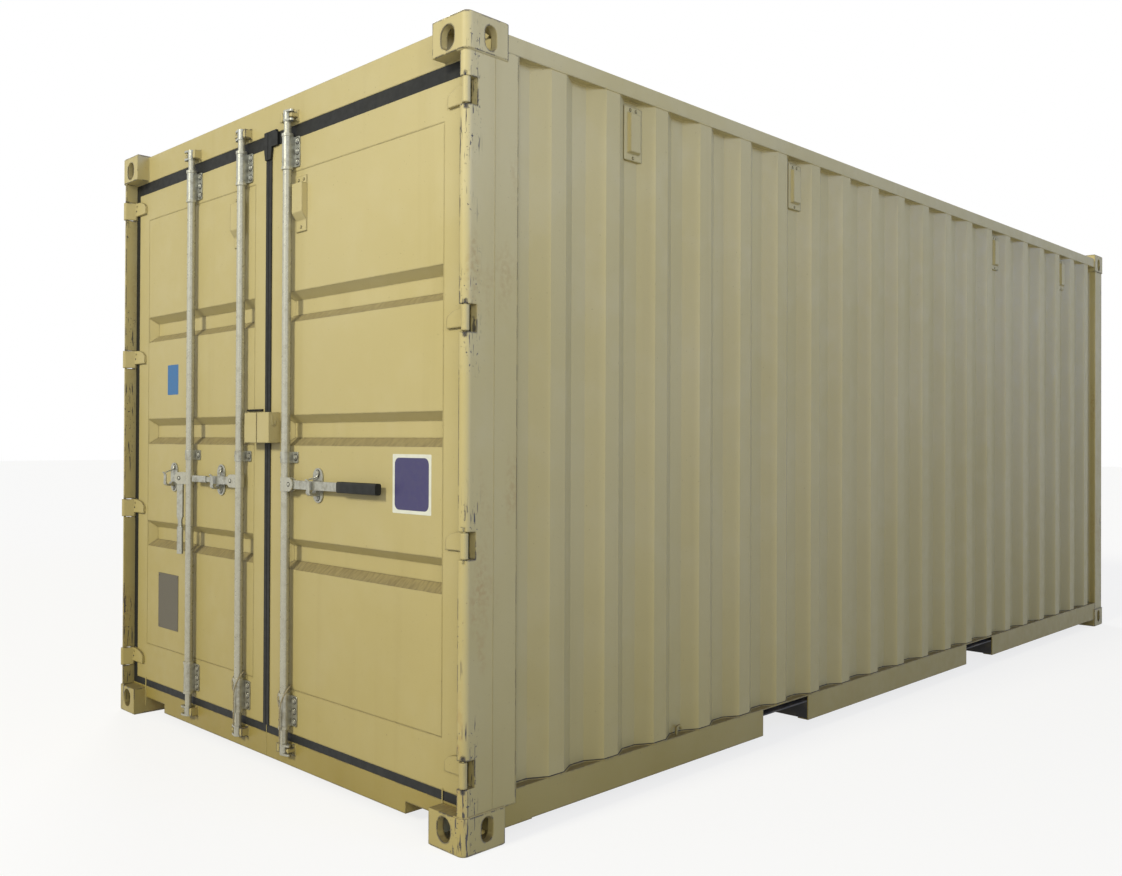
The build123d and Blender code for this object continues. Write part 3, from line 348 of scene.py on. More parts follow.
def noise(tree, place, scale, detail=4.0, stretch=None):
    """Noise at a scale in waves to the metre, longer along an axis whose stretch is under one."""
    if stretch:
        place = put(tree, "ShaderNodeMapping", {"Vector": place, "Scale": stretch}).outputs[0]
    made = put(tree, "ShaderNodeTexNoise", {"Vector": place, "Scale": scale, "Detail": detail})
    return made.outputs[0]


def between(tree, value, start, end, low=0.0, high=1.0):
    """Low up to start and high from end on, with a straight change between them."""
    inputs = {"Value": value, "From Min": start, "From Max": end, "To Min": low, "To Max": high}
    return put(tree, "ShaderNodeMapRange", inputs).outputs[0]


def combine(tree, operation, first, second):
    """Two masks brought together by this operation."""
    return put(tree, "ShaderNodeMath", {0: first, 1: second}, operation=operation).outputs[0]


def mix(tree, mask, first, second):
    """The first colour, turning to the second where the mask is one."""
    colours = [c if isinstance(c, bpy.types.NodeSocket) else (*c, 1) for c in (first, second)]
    # Inputs 6 and 7 are the node's two colours
    inputs = {0: mask, 6: colours[0], 7: colours[1]}
    return put(tree, "ShaderNodeMix", inputs, data_type="RGBA").outputs[2]


def bump(tree, height, distance, under=None):
    """A normal raised by this height map, over another normal if one is given."""
    inputs = {"Height": height, "Distance": distance, "Strength": 1.0}
    if under is not None:
        inputs["Normal"] = under
    return put(tree, "ShaderNodeBump", inputs).outputs[0]


def level_of(tree, place):
    """The height above the ground."""
    return put(tree, "ShaderNodeSeparateXYZ", {0: place}).outputs["Z"]


def upward(tree):
    """One on faces that look up and can hold dust, nought on walls."""
    normal = put(tree, "ShaderNodeNewGeometry").outputs["Normal"]
    height = put(tree, "ShaderNodeSeparateXYZ", {0: normal}).outputs["Z"]
    return between(tree, height, 0.30, 0.70)


def foot_shade(tree, place, amount):
    """A mask for painted shade that grows from the top of the walls down to their foot."""
    fall = between(tree, level_of(tree, place), FOOT_SHADE_TOP, 0.0, 0.0, amount)
    patches = between(tree, noise(tree, place, 3.0), 0.3, 0.7, 0.88, 1.0)
    return combine(tree, "MULTIPLY", fall, patches)


def near_corner(tree, place):
    """One on the rounded outer corners of posts and castings, and a little way beside them."""
    inputs = {0: place, 1: (1, 1, 0)}
    level = put(tree, "ShaderNodeVectorMath", inputs, operation="MULTIPLY").outputs[0]
    folded = put(tree, "ShaderNodeVectorMath", {0: level}, operation="ABSOLUTE").outputs[0]
    inputs = {0: folded, 1: (casting_high.x, -casting_low.y, 0)}
    reach = put(tree, "ShaderNodeVectorMath", inputs, operation="DISTANCE").outputs["Value"]
    return between(tree, reach, CORNER_REACH, 0.7 * CORNER_REACH)


def worn_edges(tree, place, wear, bevel):
    """A mask for chipped edges, and for scratches and small chips beside the outer corners."""
    true = put(tree, "ShaderNodeNewGeometry").outputs["Normal"]
    inputs = {0: bevel, 1: true}
    bend = put(tree, "ShaderNodeVectorMath", inputs, operation="DOT_PRODUCT").outputs["Value"]
    chipped = combine(
        tree,
        "MULTIPLY",
        between(tree, bend, 0.997, 0.972),
        between(tree, noise(tree, place, 24.0, 9.0, (1.0, 1.0, 0.45)), 0.49, 0.52, 0.0, wear),
    )
    patches = between(tree, noise(tree, place, 3.6, 2.0), 0.44, 0.52)
    rubbed = combine(tree, "MULTIPLY", patches, near_corner(tree, place))
    scratches = between(tree, noise(tree, place, 1.0, 3.0, (150, 150, 13)), 0.605, 0.63, 0.0, wear)
    specks = between(tree, noise(tree, place, 95.0, 4.0), 0.645, 0.665, 0.0, wear)
    marks = combine(tree, "MAXIMUM", scratches, specks)
    return combine(tree, "MAXIMUM", chipped, combine(tree, "MULTIPLY", rubbed, marks))


def paint_material(name, wear=0.0, ledge=0.55, stain=0.0, foot=0.62):
    """Cream paint. Wear is how scuffed it is, stain how rusty, ledge how dusty, and foot how much
    painted shade it has low down.
    """
    material, tree, place = new_material(name)
    tone = mix(tree, between(tree, noise(tree, place, 0.8), 0.35, 0.65), PAINT_DEEP, PAINT_PALE)
    faded = between(tree, noise(tree, place, 6.5, 7.0), 0.50, 0.80, 0.0, 0.35)
    tone = mix(tree, faded, tone, PAINT_FADED)
    runs = between(tree, noise(tree, place, 11.0, 5.0, (1.0, 1.0, 0.04)), 0.56, 0.82, 0.0, 0.16)
    tone = mix(tree, runs, tone, RUN_BROWN)
    # Painted shade: darker towards the foot
    tone = mix(tree, foot_shade(tree, place, foot), tone, FOOT_SHADE_TONE)
    streaks = noise(tree, place, 1.0, 5.0, (130, 26, 26))
    dust = between(tree, streaks, 0.30, 0.68, 0.55 * ledge, ledge)
    tone = mix(tree, combine(tree, "MULTIPLY", upward(tree), dust), tone, DUST_BROWN)
    specks = between(tree, noise(tree, place, 130.0, 2.0), 0.735, 0.76, 0.0, 0.5)
    tone = mix(tree, specks, tone, DUST_BROWN)
    rough = between(tree, noise(tree, place, 22.0), 0.3, 0.7, 0.38, 0.50)
    normal = bump(tree, noise(tree, place, 2.1, 2.0), 0.006)
    if stain:
        stained = combine(
            tree,
            "MULTIPLY",
            between(tree, noise(tree, place, 8.0, 6.0, (1.0, 1.0, 0.3)), 0.56, 0.70, 0.0, stain),
            between(tree, noise(tree, place, 60.0, 4.0), 0.40, 0.60),
        )
        tone = mix(tree, stained, tone, RUST)
    if wear:
        normal = put(tree, "ShaderNodeBevel", {"Radius": CHIP_BEVEL}, samples=5).outputs[0]
        tone = mix(tree, worn_edges(tree, place, wear, normal), tone, BARE_STEEL)
    normal = bump(tree, noise(tree, place, 260.0, 2.0), 0.0002, normal)
    close_material(tree, Base_Color=tone, Roughness=rough, Specular_IOR_Level=0.28, Normal=normal)
    return material


def zinc_material(name, pale, dull, darkening, rough_range, metallic, relief=0.0):
    """Hot-dipped zinc with grains from pale to dull and dirt patches, with painted shade lower down.
    Relief is in metres.
    """
    material, tree, place = new_material(name)
    crystals = put(tree, "ShaderNodeTexVoronoi", {"Vector": place, "Scale": 110.0}).outputs["Color"]
    grain = put(tree, "ShaderNodeSeparateXYZ", {0: crystals}).outputs["X"]
    tone = mix(tree, grain, pale, dull)
    patches = between(tree, noise(tree, place, 38.0, 8.0), 0.52, 0.72, 0.0, darkening)
    tone = mix(tree, patches, tone, ZINC_DIRT)
    # Painted shade: darker towards the foot
    tone = mix(tree, foot_shade(tree, place, 0.45), tone, ZINC_FOOT_SHADE_TONE)
    rough = between(tree, grain, 0.0, 1.0, *rough_range)
    inputs = {}
    if relief:
        edge = put(tree, "ShaderNodeBevel", {"Radius": 0.0015}, samples=4).outputs[0]
        inputs["Normal"] = bump(tree, noise(tree, place, 120.0, 4.0), relief, edge)
    close_material(tree, Base_Color=tone, Roughness=rough, Metallic=metallic, **inputs)
    return material


def rubber_material(name, dust):
    """Black rubber with a little pale dust in patches."""
    material, tree, place = new_material(name)
    patches = between(tree, noise(tree, place, 12.0, 8.0, (1.0, 1.0, 0.3)), 0.50, 0.80, 0.0, dust)
    tone = mix(tree, patches, (0.011, 0.012, 0.012), (0.070, 0.066, 0.050))
    rough = between(tree, noise(tree, place, 40.0), 0.3, 0.7, 0.50, 0.68)
    normal = bump(tree, noise(tree, place, 180.0, 3.0), 0.0003)
    close_material(tree, Base_Color=tone, Roughness=rough, Specular_IOR_Level=0.28, Normal=normal)
    return material


def rope_material():
    """Weathered fibre."""
    material, tree, place = new_material("rope_fibre")
    strands = noise(tree, place, 900.0, 2.0, (1.0, 1.0, 0.3))
    tone = mix(tree, between(tree, strands, 0.35, 0.65), (0.16, 0.13, 0.08), (0.42, 0.37, 0.25))
    close_material(tree, Base_Color=tone, Roughness=0.95, Normal=bump(tree, strands, 0.001))
    return material


def floor_material():
    """Varnished plywood, its grain along the container."""
    material, tree, place = new_material("floor_board")
    grain = noise(tree, place, 55.0, 6.0, (1.0, 0.035, 1.0))
    tone = mix(tree, between(tree, grain, 0.35, 0.68), (0.20, 0.085, 0.035), (0.36, 0.19, 0.085))
    scuffs = between(tree, noise(tree, place, 7.0, 8.0), 0.52, 0.74, 0.0, 0.6)
    tone = mix(tree, scuffs, tone, (0.24, 0.19, 0.13))
    rough = between(tree, scuffs, 0.0, 0.6, 0.32, 0.65)
    close_material(tree, Base_Color=tone, Roughness=rough, Normal=bump(tree, grain, 0.0004))
    return material


def underseal_material():
    """Black wax sprayed under the floor, dusty below."""
    material, tree, place = new_material("underseal")
    patches = between(tree, noise(tree, place, 9.0, 8.0), 0.45, 0.72, 0.0, 0.8)
    tone = mix(tree, patches, (0.022, 0.021, 0.020), (0.115, 0.098, 0.070))
    normal = bump(tree, noise(tree, place, 70.0, 6.0), 0.002)
    close_material(tree, Base_Color=tone, Roughness=0.72, Normal=normal)
    return material


def sheet_material(name, colour, roughness, metallic=0.0):
    """A printed film or thin plate in one colour, softly mottled and scuffed."""
    material, tree, place = new_material(name)
    worn = tuple(0.88 * channel + 0.012 for channel in colour)
    tone = mix(tree, between(tree, noise(tree, place, 45.0, 8.0), 0.40, 0.75), colour, worn)
    normal = bump(tree, noise(tree, place, 60.0, 3.0), 0.0003)
    close_material(tree, Base_Color=tone, Roughness=roughness, Metallic=metallic, Normal=normal)
    return material


paint = paint_material("paint", ledge=0.45)
worn_paint = paint_material("worn_paint", wear=0.92, ledge=0.85, stain=0.35)
door_paint = paint_material("door_paint", wear=0.10, ledge=0.78)
# Sill and bottom rails: the most painted shade towards the foot, and the dustiest ledges
low_paint = paint_material("low_paint", wear=0.35, ledge=0.92, stain=0.12, foot=0.95)
zinc = zinc_material("zinc", GEAR_PALE, GEAR_DULL, 0.60, (0.30, 0.42), metallic=0.72, relief=0.0002)
rod_zinc = zinc_material("rod_zinc", ROD_PALE, ROD_DULL, 0.24, (0.27, 0.31), metallic=0.55)
seal = rubber_material("seal", 0.12)
grip = rubber_material("grip", 0.30)
rope_fibre = rope_material()
# Dark sheet: joints of the floor boards and the dark line at the wall's foot, and painted shade round
# bolts, pins and screws, in holes and in the shadow strip
dark_joint_and_shade = sheet_material("dark_joint_and_shade", (0.018, 0.015, 0.011), 0.8)
white_film = sheet_material("white_film", (0.66, 0.68, 0.62), 0.35)
navy_film = sheet_material("navy_film", (0.036, 0.031, 0.118), 0.40)
blue_film = sheet_material("blue_film", (0.012, 0.130, 0.360), 0.40)
grey_plate = sheet_material("grey_plate", (0.105, 0.092, 0.062), 0.45, 0.35)
FINISHES = {
    "painted_steel": paint,
    "galvanised_steel": zinc,
    "seal_rubber": seal,
    "grip_rubber": grip,
    "rope": rope_fibre,
    "floor_board": floor_material(),
    "underframe_paint": underseal_material(),
}
OWN_FINISHES = {
    "casting": worn_paint,
    "rear_post": worn_paint,
    "front_post": worn_paint,
    "cam_keepers": worn_paint,
    "door_header": door_paint,
    "door_frame": door_paint,
    "door_panel": door_paint,
    "door_hinges": door_paint,
    "lock_box": door_paint,
    "side_vents": door_paint,
    "door_sill": low_paint,
    "bottom_side_rail": low_paint,
    "front_bottom_rail": low_paint,
    "lock_rod": rod_zinc,
}


def finish_nodes():
    """Give each CAD node its slot's finish, or its own if it has one."""
    for part in frame["record"]["subparts"]:
        item = nodes[part["node"]]
        finish = FINISHES[part["material_slot"]]
        for stem, own in OWN_FINISHES.items():
            if part["node"].startswith(stem):
                finish = own
        item.data.materials.clear()
        item.data.materials.append(finish)


# Small pieces, gathered in heaps that share a body and a finish
class Heap:
    """Points and faces of small pieces that become one mesh."""

    def __init__(self, name, body, finish, slot):
        self.name = name
        self.body = body
        self.finish = finish
        self.slot = slot
        self.points = []
        self.faces = []

    def add(self, points, faces):
        """Take in one small piece."""
        start = len(self.points)
        self.points += points
        self.faces += [tuple(start + index for index in face) for face in faces]

    def place(self):
        """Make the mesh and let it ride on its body."""
        mesh = bpy.data.meshes.new(self.name)
        mesh.from_pydata(self.points, [], self.faces)
        mesh.polygons.foreach_set("use_smooth", [True] * len(mesh.polygons))
        mesh.set_sharp_from_angle(angle=SMOOTH_ANGLE)
        mesh.materials.append(self.finish)
        item = bpy.data.objects.new(self.name, mesh)
        scene.collection.objects.link(item)
        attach(item, self.body)


def stitch(heap, rings, closed, caps=True):
    """Join rings of points into a skin. A closed ring runs all the way round."""
    count = len(rings[0])
    faces = []
    for index in range(len(rings) - 1):
        for step in range(count if closed else count - 1):
            near = index * count + step
            beside = index * count + (step + 1) % count
            faces.append((near, beside, beside + count, near + count))
    if caps:
        faces.append(tuple(reversed(range(count))))
        faces.append(tuple(range((len(rings) - 1) * count, len(rings) * count)))
    heap.add([point for ring in rings for point in ring], faces)


def lathe(heap, place, axis, profile, sides):
    """Add a turned piece. The profile is radius and height pairs from its foot up the axis."""
    axis = Vector(axis).normalized()
    across = axis.orthogonal().normalized()
    beside = axis.cross(across)
    rings = []
    for radius, rise in profile:
        ring = []
        for step in range(sides):
            turn = math.tau * step / sides
            spoke = math.cos(turn) * across + math.sin(turn) * beside
            ring.append(Vector(place) + rise * axis + radius * spoke)
        rings.append(ring)
    stitch(heap, rings, closed=True)


def disc(heap, place, axis, radius, thickness=0.0006):
    """Add a thin round disc, such as the ring of painted shade round a bolt head."""
    lathe(heap, place, axis, ((radius, 0.0), (radius, thickness)), 18)


def bolt(heap, place, axis):
    """Add a hexagon head on a washer."""
    rim = 1.25 * BOLT_RADIUS
    washer = ((rim, 0.0), (rim, 0.0016), (1.1 * BOLT_RADIUS, 0.0022))
    lathe(heap, place, axis, washer, 20)
    head = ((BOLT_RADIUS, 0.0016), (BOLT_RADIUS, 0.0064), (0.82 * BOLT_RADIUS, 0.0078))
    lathe(heap, place, axis, head, 6)


def dark_bolt(heap, shade, place, axis):
    """Add a bolt with a ring of painted shade round its washer."""
    disc(shade, place, axis, 1.6 * BOLT_RADIUS)
    bolt(heap, place, axis)


def rivet(heap, place, axis, radius):
    """Add a domed head."""
    dome = [(radius * math.cos(a), 0.55 * radius * math.sin(a)) for a in (0.0, 0.5, 0.95, 1.35)]
    lathe(heap, place, axis, dome, 14)


# Outline of a strap, in shares of its half width and half thickness
STRAP_RING = ((1, 0.5), (0.8, 1), (-0.8, 1), (-1, 0.5), (-1, -0.5), (-0.8, -1), (0.8, -1), (1, -0.5))


def strap(heap, path, halves, thickness):
    """Add a flat bar with rounded edges through these points. Halves are its half widths."""
    path = [Vector(point) for point in path]
    across = Vector((1, 0, 0))
    rings = []
    for index, (point, half) in enumerate(zip(path, halves)):
        before = path[max(index - 1, 0)]
        after = path[min(index + 1, len(path) - 1)]
        along = (after - before).normalized()
        out = along.cross(across).normalized()
        ring = []
        for wide, deep in STRAP_RING:
            ring.append(point + wide * half * across + deep * thickness / 2 * out)
        rings.append(ring)
    stitch(heap, rings, closed=True)


def bead(heap, path, crown, radius, pitch=WELD_PITCH):
    """Add a rippled weld bead along straight runs, its crown facing this way."""
    crown = Vector(crown).normalized()
    for start, end in zip(path, path[1:]):
        start, end = Vector(start), Vector(end)
        along = (end - start).normalized()
        out = (crown - crown.dot(along) * along).normalized()
        across = along.cross(out)
        steps = max(2, math.ceil((end - start).length / (pitch / 2)))
        rings = []
        for step in range(steps + 1):
            swell = radius * (1.0 if step % 2 else WELD_RIPPLE)
            middle = start + (end - start) * step / steps
            spokes = [math.cos(turn) * out - math.sin(turn) * across for turn in WELD_ARC]
            rings.append([middle + swell * spoke for spoke in spokes])
        stitch(heap, rings, closed=False, caps=False)


def plate(heap, x_range, z_range, back_y, thickness, corner):
    """Add a thin plate with rounded corners that faces the doors' way."""
    steps = 6
    low_x, high_x = x_range
    low_z, high_z = z_range
    corners = (
        (high_x - corner, low_z + corner, -90),
        (high_x - corner, high_z - corner, 0),
        (low_x + corner, high_z - corner, 90),
        (low_x + corner, low_z + corner, 180),
    )
    rings = []
    for depth, inset in ((0.0, 0.0), (0.7 * thickness, 0.0), (thickness, 0.3 * thickness)):
        radius = corner - inset
        ring = []
        for centre_x, centre_z, first in corners:
            for step in range(steps + 1):
                turn = math.radians(first + 90 * step / steps)
                x = centre_x + radius * math.cos(turn)
                z = centre_z + radius * math.sin(turn)
                ring.append(Vector((x, back_y - depth, z)))
        rings.append(ring)
    stitch(heap, rings, closed=True)


def mirrored(path, side):
    """The path on the right, or its mirror image on the left where side is minus one."""
    return [(side * x, y, z) for x, y, z in path]


# Doors
def leaf_of(index):
    """The body and the outward side of a rod's leaf."""
    return ("door_right", 1) if RODS[index] > 0 else ("door_left", -1)


def turned(index, x, y, z):
    """A point given beside the rod as closed, where the rod stands in the photograph."""
    turn = REST_TURN[index]
    offset_x = x - RODS[index]
    offset_y = y - ROD_Y
    return (
        RODS[index] + offset_x * math.cos(turn) - offset_y * math.sin(turn),
        ROD_Y + offset_x * math.sin(turn) + offset_y * math.cos(turn),
        z,
    )


def rod_fasteners():
    """Bolts of flanges and catches in rings of painted shade, dark domes of painted shade for the
    sleeve holes, the catch arms and the hub pins.
    """
    bright = {}
    dark = {}
    for side in ("left", "right"):
        bright[side] = Heap(f"bolts_{side}", f"door_{side}", zinc, "galvanised_steel")
        # Rings of painted shade round the bolts, and dark domes of painted shade in the sleeve holes
        dark[side] = Heap(f"bolt_shade_rings_{side}", f"door_{side}", dark_joint_and_shade, "galvanised_steel")
    outward = Vector((math.cos(SLEEVE_HOLE_TURN), math.sin(SLEEVE_HOLE_TURN), 0))
    for index, rod_x in RODS.items():
        body, side = leaf_of(index)
        heap = bright[body.split("_")[1]]
        shade = dark[body.split("_")[1]]
        hole_x = rod_x + SLEEVE_RADIUS * outward.x
        hole_y = ROD_Y + SLEEVE_RADIUS * outward.y
        for bottom in SLEEVE_BOTTOMS:
            for rise in (FLANGE_BOLT_INSET, SLEEVE_LENGTH / 2, SLEEVE_LENGTH - FLANGE_BOLT_INSET):
                place = (rod_x + FLANGE_BOLT_X, FLANGE_Y, bottom + rise)
                dark_bolt(heap, shade, place, (0, -1, 0))
            for rise in (SLEEVE_HOLE_INSET, SLEEVE_LENGTH - SLEEVE_HOLE_INSET):
                # A dark dome of painted shade for each sleeve hole
                rivet(shade, (hole_x, hole_y, bottom + rise), outward, SLEEVE_HOLE_RADIUS)
        dark_bolt(heap, shade, (rod_x + FLANGE_BOLT_X, FLANGE_Y, MIDDLE_BRACKET_Z), (0, -1, 0))
        rivet(shade, (hole_x, hole_y, MIDDLE_BRACKET_Z), outward, SLEEVE_HOLE_RADIUS)
        catch = rod_x + side * CATCH_OFFSET
        for rise in (-CATCH_BOLT_RISE, CATCH_BOLT_RISE):
            dark_bolt(heap, shade, (catch, CATCH_Y, HANDLE_Z + rise), (0, -1, 0))
        catch_arms(heap, catch, side, 1.0 if REST_TURN[index] else ARM_BEHIND_HANDLE)
        hub_pin(index, rod_x + side * PIVOT_OFFSET)
    for heap in (*bright.values(), *dark.values()):
        heap.place()


def hub_pin(index, pivot_x):
    """The head of the pin that a handle turns on, with a ring of painted shade round it."""
    outward = Vector(turned(index, RODS[index], ROD_Y - 1, 0)) - Vector((RODS[index], ROD_Y, 0))
    place = turned(index, pivot_x, HUB_FRONT_Y, HANDLE_Z)
    pin = Heap(f"hub_pin_{index}", f"rod_{index}", zinc, "galvanised_steel")
    rivet(pin, place, outward, HUB_PIN_RADIUS)
    pin.place()
    # A ring of painted shade round the pin's head
    shade_ring = Heap(f"hub_shade_ring_{index}", f"rod_{index}", dark_joint_and_shade, "galvanised_steel")
    disc(shade_ring, place, outward, HUB_SHADE_RADIUS)
    shade_ring.place()


def catch_arms(heap, catch, side, reach):
    """The strap that rises in front of a handle from its cradle, and the arm above it.

    Reach is one where the handle hangs down, and less where the arm has to stay behind it.
    """
    path = [(catch, STRAP_FOOT_Y + inward, STRAP_FOOT_Z + up) for inward, up, _ in STRAP_POINTS]
    strap(heap, path, [half for *_, half in STRAP_POINTS], STRAP_THICKNESS)
    top = HANDLE_Z + CATCH_BOLT_RISE
    path = [
        (catch + side * along, CATCH_Y - stand - out * reach, top + up)
        for along, stand, out, up, _ in ARM_POINTS
    ]
    strap(heap, path, [half for *_, half in ARM_POINTS], STRAP_THICKNESS)


def leaf_details(name, side):
    """Weld beads, vent screws with rings of painted shade, and dark discs of painted shade for the
    hinge holes, of one leaf.
    """
    body = f"door_{name}"
    welds = Heap(f"welds_{name}", body, door_paint, "painted_steel")
    hole_shade = Heap(f"holes_{name}", body, dark_joint_and_shade, "painted_steel")
    left, right = panel_low.x, panel_high.x
    bottom, top = panel_low.z, panel_high.z
    frame_line = [
        (left, FACE_Y, bottom),
        (right, FACE_Y, bottom),
        (right, FACE_Y, top),
        (left, FACE_Y, top),
        (left, FACE_Y, bottom),
    ]
    bead(welds, mirrored(frame_line, side), (0, -1, 0), PANEL_BEAD)
    hinge_welds(welds, hole_shade, name, side)
    for across, rise in DOOR_VENT_SCREWS:
        place = (side * (DOOR_VENT_X + across), DOOR_VENT_FACE_Y, rise)
        # A ring of painted shade round the screw
        disc(hole_shade, place, (0, -1, 0), SCREW_SHADE_RADIUS)
        rivet(welds, place, (0, -1, 0), SCREW_RADIUS)
    box_low, box_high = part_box(f"lock_box_{name}")
    edge = max(abs(box_low.x), abs(box_high.x)) - LOCK_BOX_BEAD_INSET
    rim = [(edge, FACE_Y, box_low.z), (edge, FACE_Y, box_high.z)]
    bead(welds, mirrored(rim, side), (side, -1, 0), LOCK_BOX_BEAD)
    welds.place()
    hole_shade.place()


def hinge_welds(heap, hole_shade, name, side):
    """Fillet welds round the blades, and a dark disc of painted shade for the grease hole beside each
    barrel.
    """
    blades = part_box(f"door_hinges_{name}")
    reach = min(abs(blades[0].x), abs(blades[1].x))
    elbow = reach + HINGE_ELBOW
    for middle in HINGE_PLACES:
        shoulder = middle + BLADE_SHOULDER
        foot = middle - BLADE_FOOT
        arc = []
        for step in range(9):
            turn = math.radians(90 + 90 * step / 8)
            x = elbow + HINGE_ELBOW * math.cos(turn)
            arc.append((x, FACE_Y, shoulder + (HINGE_HALF - BLADE_SHOULDER) * math.sin(turn)))
        path = arc + [(reach, FACE_Y, foot), (elbow - BLADE_BEAD_END, FACE_Y, foot)]
        for start, end in zip(path, path[1:]):
            run = Vector(end) - Vector(start)
            crown = Vector((-side * run.z, -run.length, run.x))
            bead(heap, mirrored((start, end), side), crown, BLADE_BEAD)
        hole_x = side * (elbow - GREASE_HOLE_INSET)
        hole = (hole_x, FACE_Y - BLADE_FRONT, middle + GREASE_HOLE_RISE)
        # A dark disc of painted shade for the grease hole
        disc(hole_shade, hole, (0, -1, 0), GREASE_HOLE_RADIUS, GREASE_HOLE_THICKNESS)


def bare_panels():
    """Bare panels on the doors: a notice, a sticker, a blank plate and a dark strip of painted
    shadow.
    """
    panels = (
        ("notice_rim", "door_right", white_film, "painted_steel", NOTICE_RIM),
        ("notice_field", "door_right", navy_film, "painted_steel", NOTICE_FIELD),
        ("sticker", "door_left", blue_film, "painted_steel", STICKER),
        ("blank_plate", "door_left", grey_plate, "painted_steel", BLANK_PLATE),
        # A dark strip of painted shadow
        ("shadow_strip", "door_left", dark_joint_and_shade, "seal_rubber", SHADOW_STRIP),
    )
    for name, body, finish, slot, (x_range, z_range, lift, thickness, corner) in panels:
        panel = Heap(name, body, finish, slot)
        plate(panel, x_range, z_range, FACE_Y - lift, thickness, corner)
        if name == "blank_plate":
            for x, z in PLATE_RIVETS:
                rivet(panel, (x, FACE_Y - thickness, z), (0, -1, 0), PLATE_RIVET_RADIUS)
        panel.place()


# Body shell
def frame_welds():
    """Beads where castings, posts, walls, header and sill meet."""
    welds = Heap("frame_welds", "root", door_paint, "painted_steel")
    inner = casting_low.x
    for side in (-1, 1):
        for low, high in ((header_low.z, header_high.z), (sill_low.z, sill_high.z)):
            ends = ((inner, FACE_Y, low), (inner, FACE_Y, high))
            bead(welds, mirrored(ends, side), (-side, -1, 0), HEADER_BEAD)
        for z in (post_low.z, top_casting_low.z):
            seam = (
                (post_low.x, post_low.y, z),
                (post_high.x - POST_ROUND_START, post_low.y, z),
                (post_high.x - POST_ROUND_MIDDLE, post_low.y + POST_ROUND_MIDDLE, z),
                (post_high.x, post_low.y + POST_ROUND_START, z),
                (post_high.x, casting_high.y, z),
            )
            for start, end in zip(seam, seam[1:]):
                run = Vector(end) - Vector(start)
                crown = (side * run.y, -run.x, 0.0)
                bead(welds, mirrored((start, end), side), crown, CASTING_BEAD)
        fold = ((post_high.x, POST_FOLD_Y, post_low.z), (post_high.x, POST_FOLD_Y, wall_high.z))
        bead(welds, mirrored(fold, side), (side, 0, 0), POST_FOLD_BEAD)
        for y, facing in ((post_high.y, 1), (front_post_low.y, -1)):
            edge = ((WALL_X, y, wall_low.z), (WALL_X, y, wall_high.z))
            bead(welds, mirrored(edge, side), (side, facing, 0), WALL_EDGE_BEAD)
        seam = ((WALL_X, casting_high.y, wall_high.z), (WALL_X, front_casting_low.y, wall_high.z))
        bead(welds, mirrored(seam, side), (side, 0, 0), RAIL_BEAD, RAIL_PITCH)
    middle_seam = ((0, FACE_Y, sill_low.z), (0, FACE_Y, sill_high.z))
    bead(welds, middle_seam, (0, -1, 0), SILL_SEAM_BEAD)
    keeper_welds(welds)
    welds.place()


def keeper_welds(heap):
    """Beads round the foot of each cam keeper."""
    for rod_x in RODS.values():
        for middle in KEEPER_MIDDLES:
            for side in (-1, 1):
                near = rod_x + side * (KEEPER_NEAR + KEEPER_POINT)
                far = rod_x + side * (KEEPER_NEAR + KEEPER_LENGTH)
                ring = (
                    (near, FACE_Y, middle - KEEPER_HALF),
                    (far, FACE_Y, middle - KEEPER_HALF),
                    (far, FACE_Y, middle + KEEPER_HALF),
                    (near, FACE_Y, middle + KEEPER_HALF),
                )
                crowns = ((0, -1, -1), (side, -1, 0), (0, -1, 1))
                for start, end, crown in zip(ring, ring[1:], crowns):
                    bead(heap, (start, end), crown, KEEPER_BEAD)


def vent_screws():
    """Two screws above and one below the hood of each side vent, each in a ring of painted shade."""
    screws = Heap("vent_screws", "root", door_paint, "painted_steel")
    shade_rings = Heap("vent_shade_rings", "root", dark_joint_and_shade, "painted_steel")
    for side in (-1, 1):
        for pitches in VENT_STEPS:
            for end in (-1, 1):
                middle_y = WALL_MIDDLE_Y + end * pitches * VENT_PITCH
                for along, z in VENT_SCREWS:
                    place = (side * VENT_FACE_X, middle_y + along, z)
                    # A ring of painted shade round the screw
                    disc(shade_rings, place, (side, 0, 0), SCREW_SHADE_RADIUS)
                    rivet(screws, place, (side, 0, 0), SCREW_RADIUS)
    screws.place()
    shade_rings.place()


def fold_line(z):
    """The bends of the right side wall's outer face, put at this height."""
    mesh = nodes["side_wall_right"].data
    found = {}
    for vertex in mesh.vertices:
        if abs(vertex.co.z - wall_low.z) < LEVEL_TOLERANCE:
            along = round(vertex.co.y, 4)
            found[along] = max(found.get(along, -9.0), vertex.co.x)
    levels = (WALL_X, WALL_X - FOLD_DEPTH)
    outer = []
    for along in sorted(found):
        if any(abs(found[along] - level) < FOLD_TOLERANCE for level in levels):
            outer.append((found[along], along, z))
    return outer


def wall_welds():
    """Wavy beads at the foot and head of the folded walls, and a dark line just above the foot."""
    foot = Heap("wall_foot_welds", "root", low_paint, "painted_steel")
    head = Heap("wall_head_welds", "root", paint, "painted_steel")
    # A dark line just above the wall's foot
    darkening = Heap("wall_foot_darkening", "root", dark_joint_and_shade, "painted_steel")
    for side in (-1, 1):
        for heap, z, lift in ((foot, wall_low.z, 1), (head, wall_high.z, -1)):
            bead(heap, mirrored(fold_line(z), side), (side, 0, lift), FOLD_BEAD, FOLD_PITCH)
        line = fold_line(wall_low.z + FOOT_LINE_RISE)
        bead(darkening, mirrored(line, side), (side, 0, 0), FOOT_LINE_BEAD, FOOT_LINE_PITCH)
    foot.place()
    head.place()
    darkening.place()


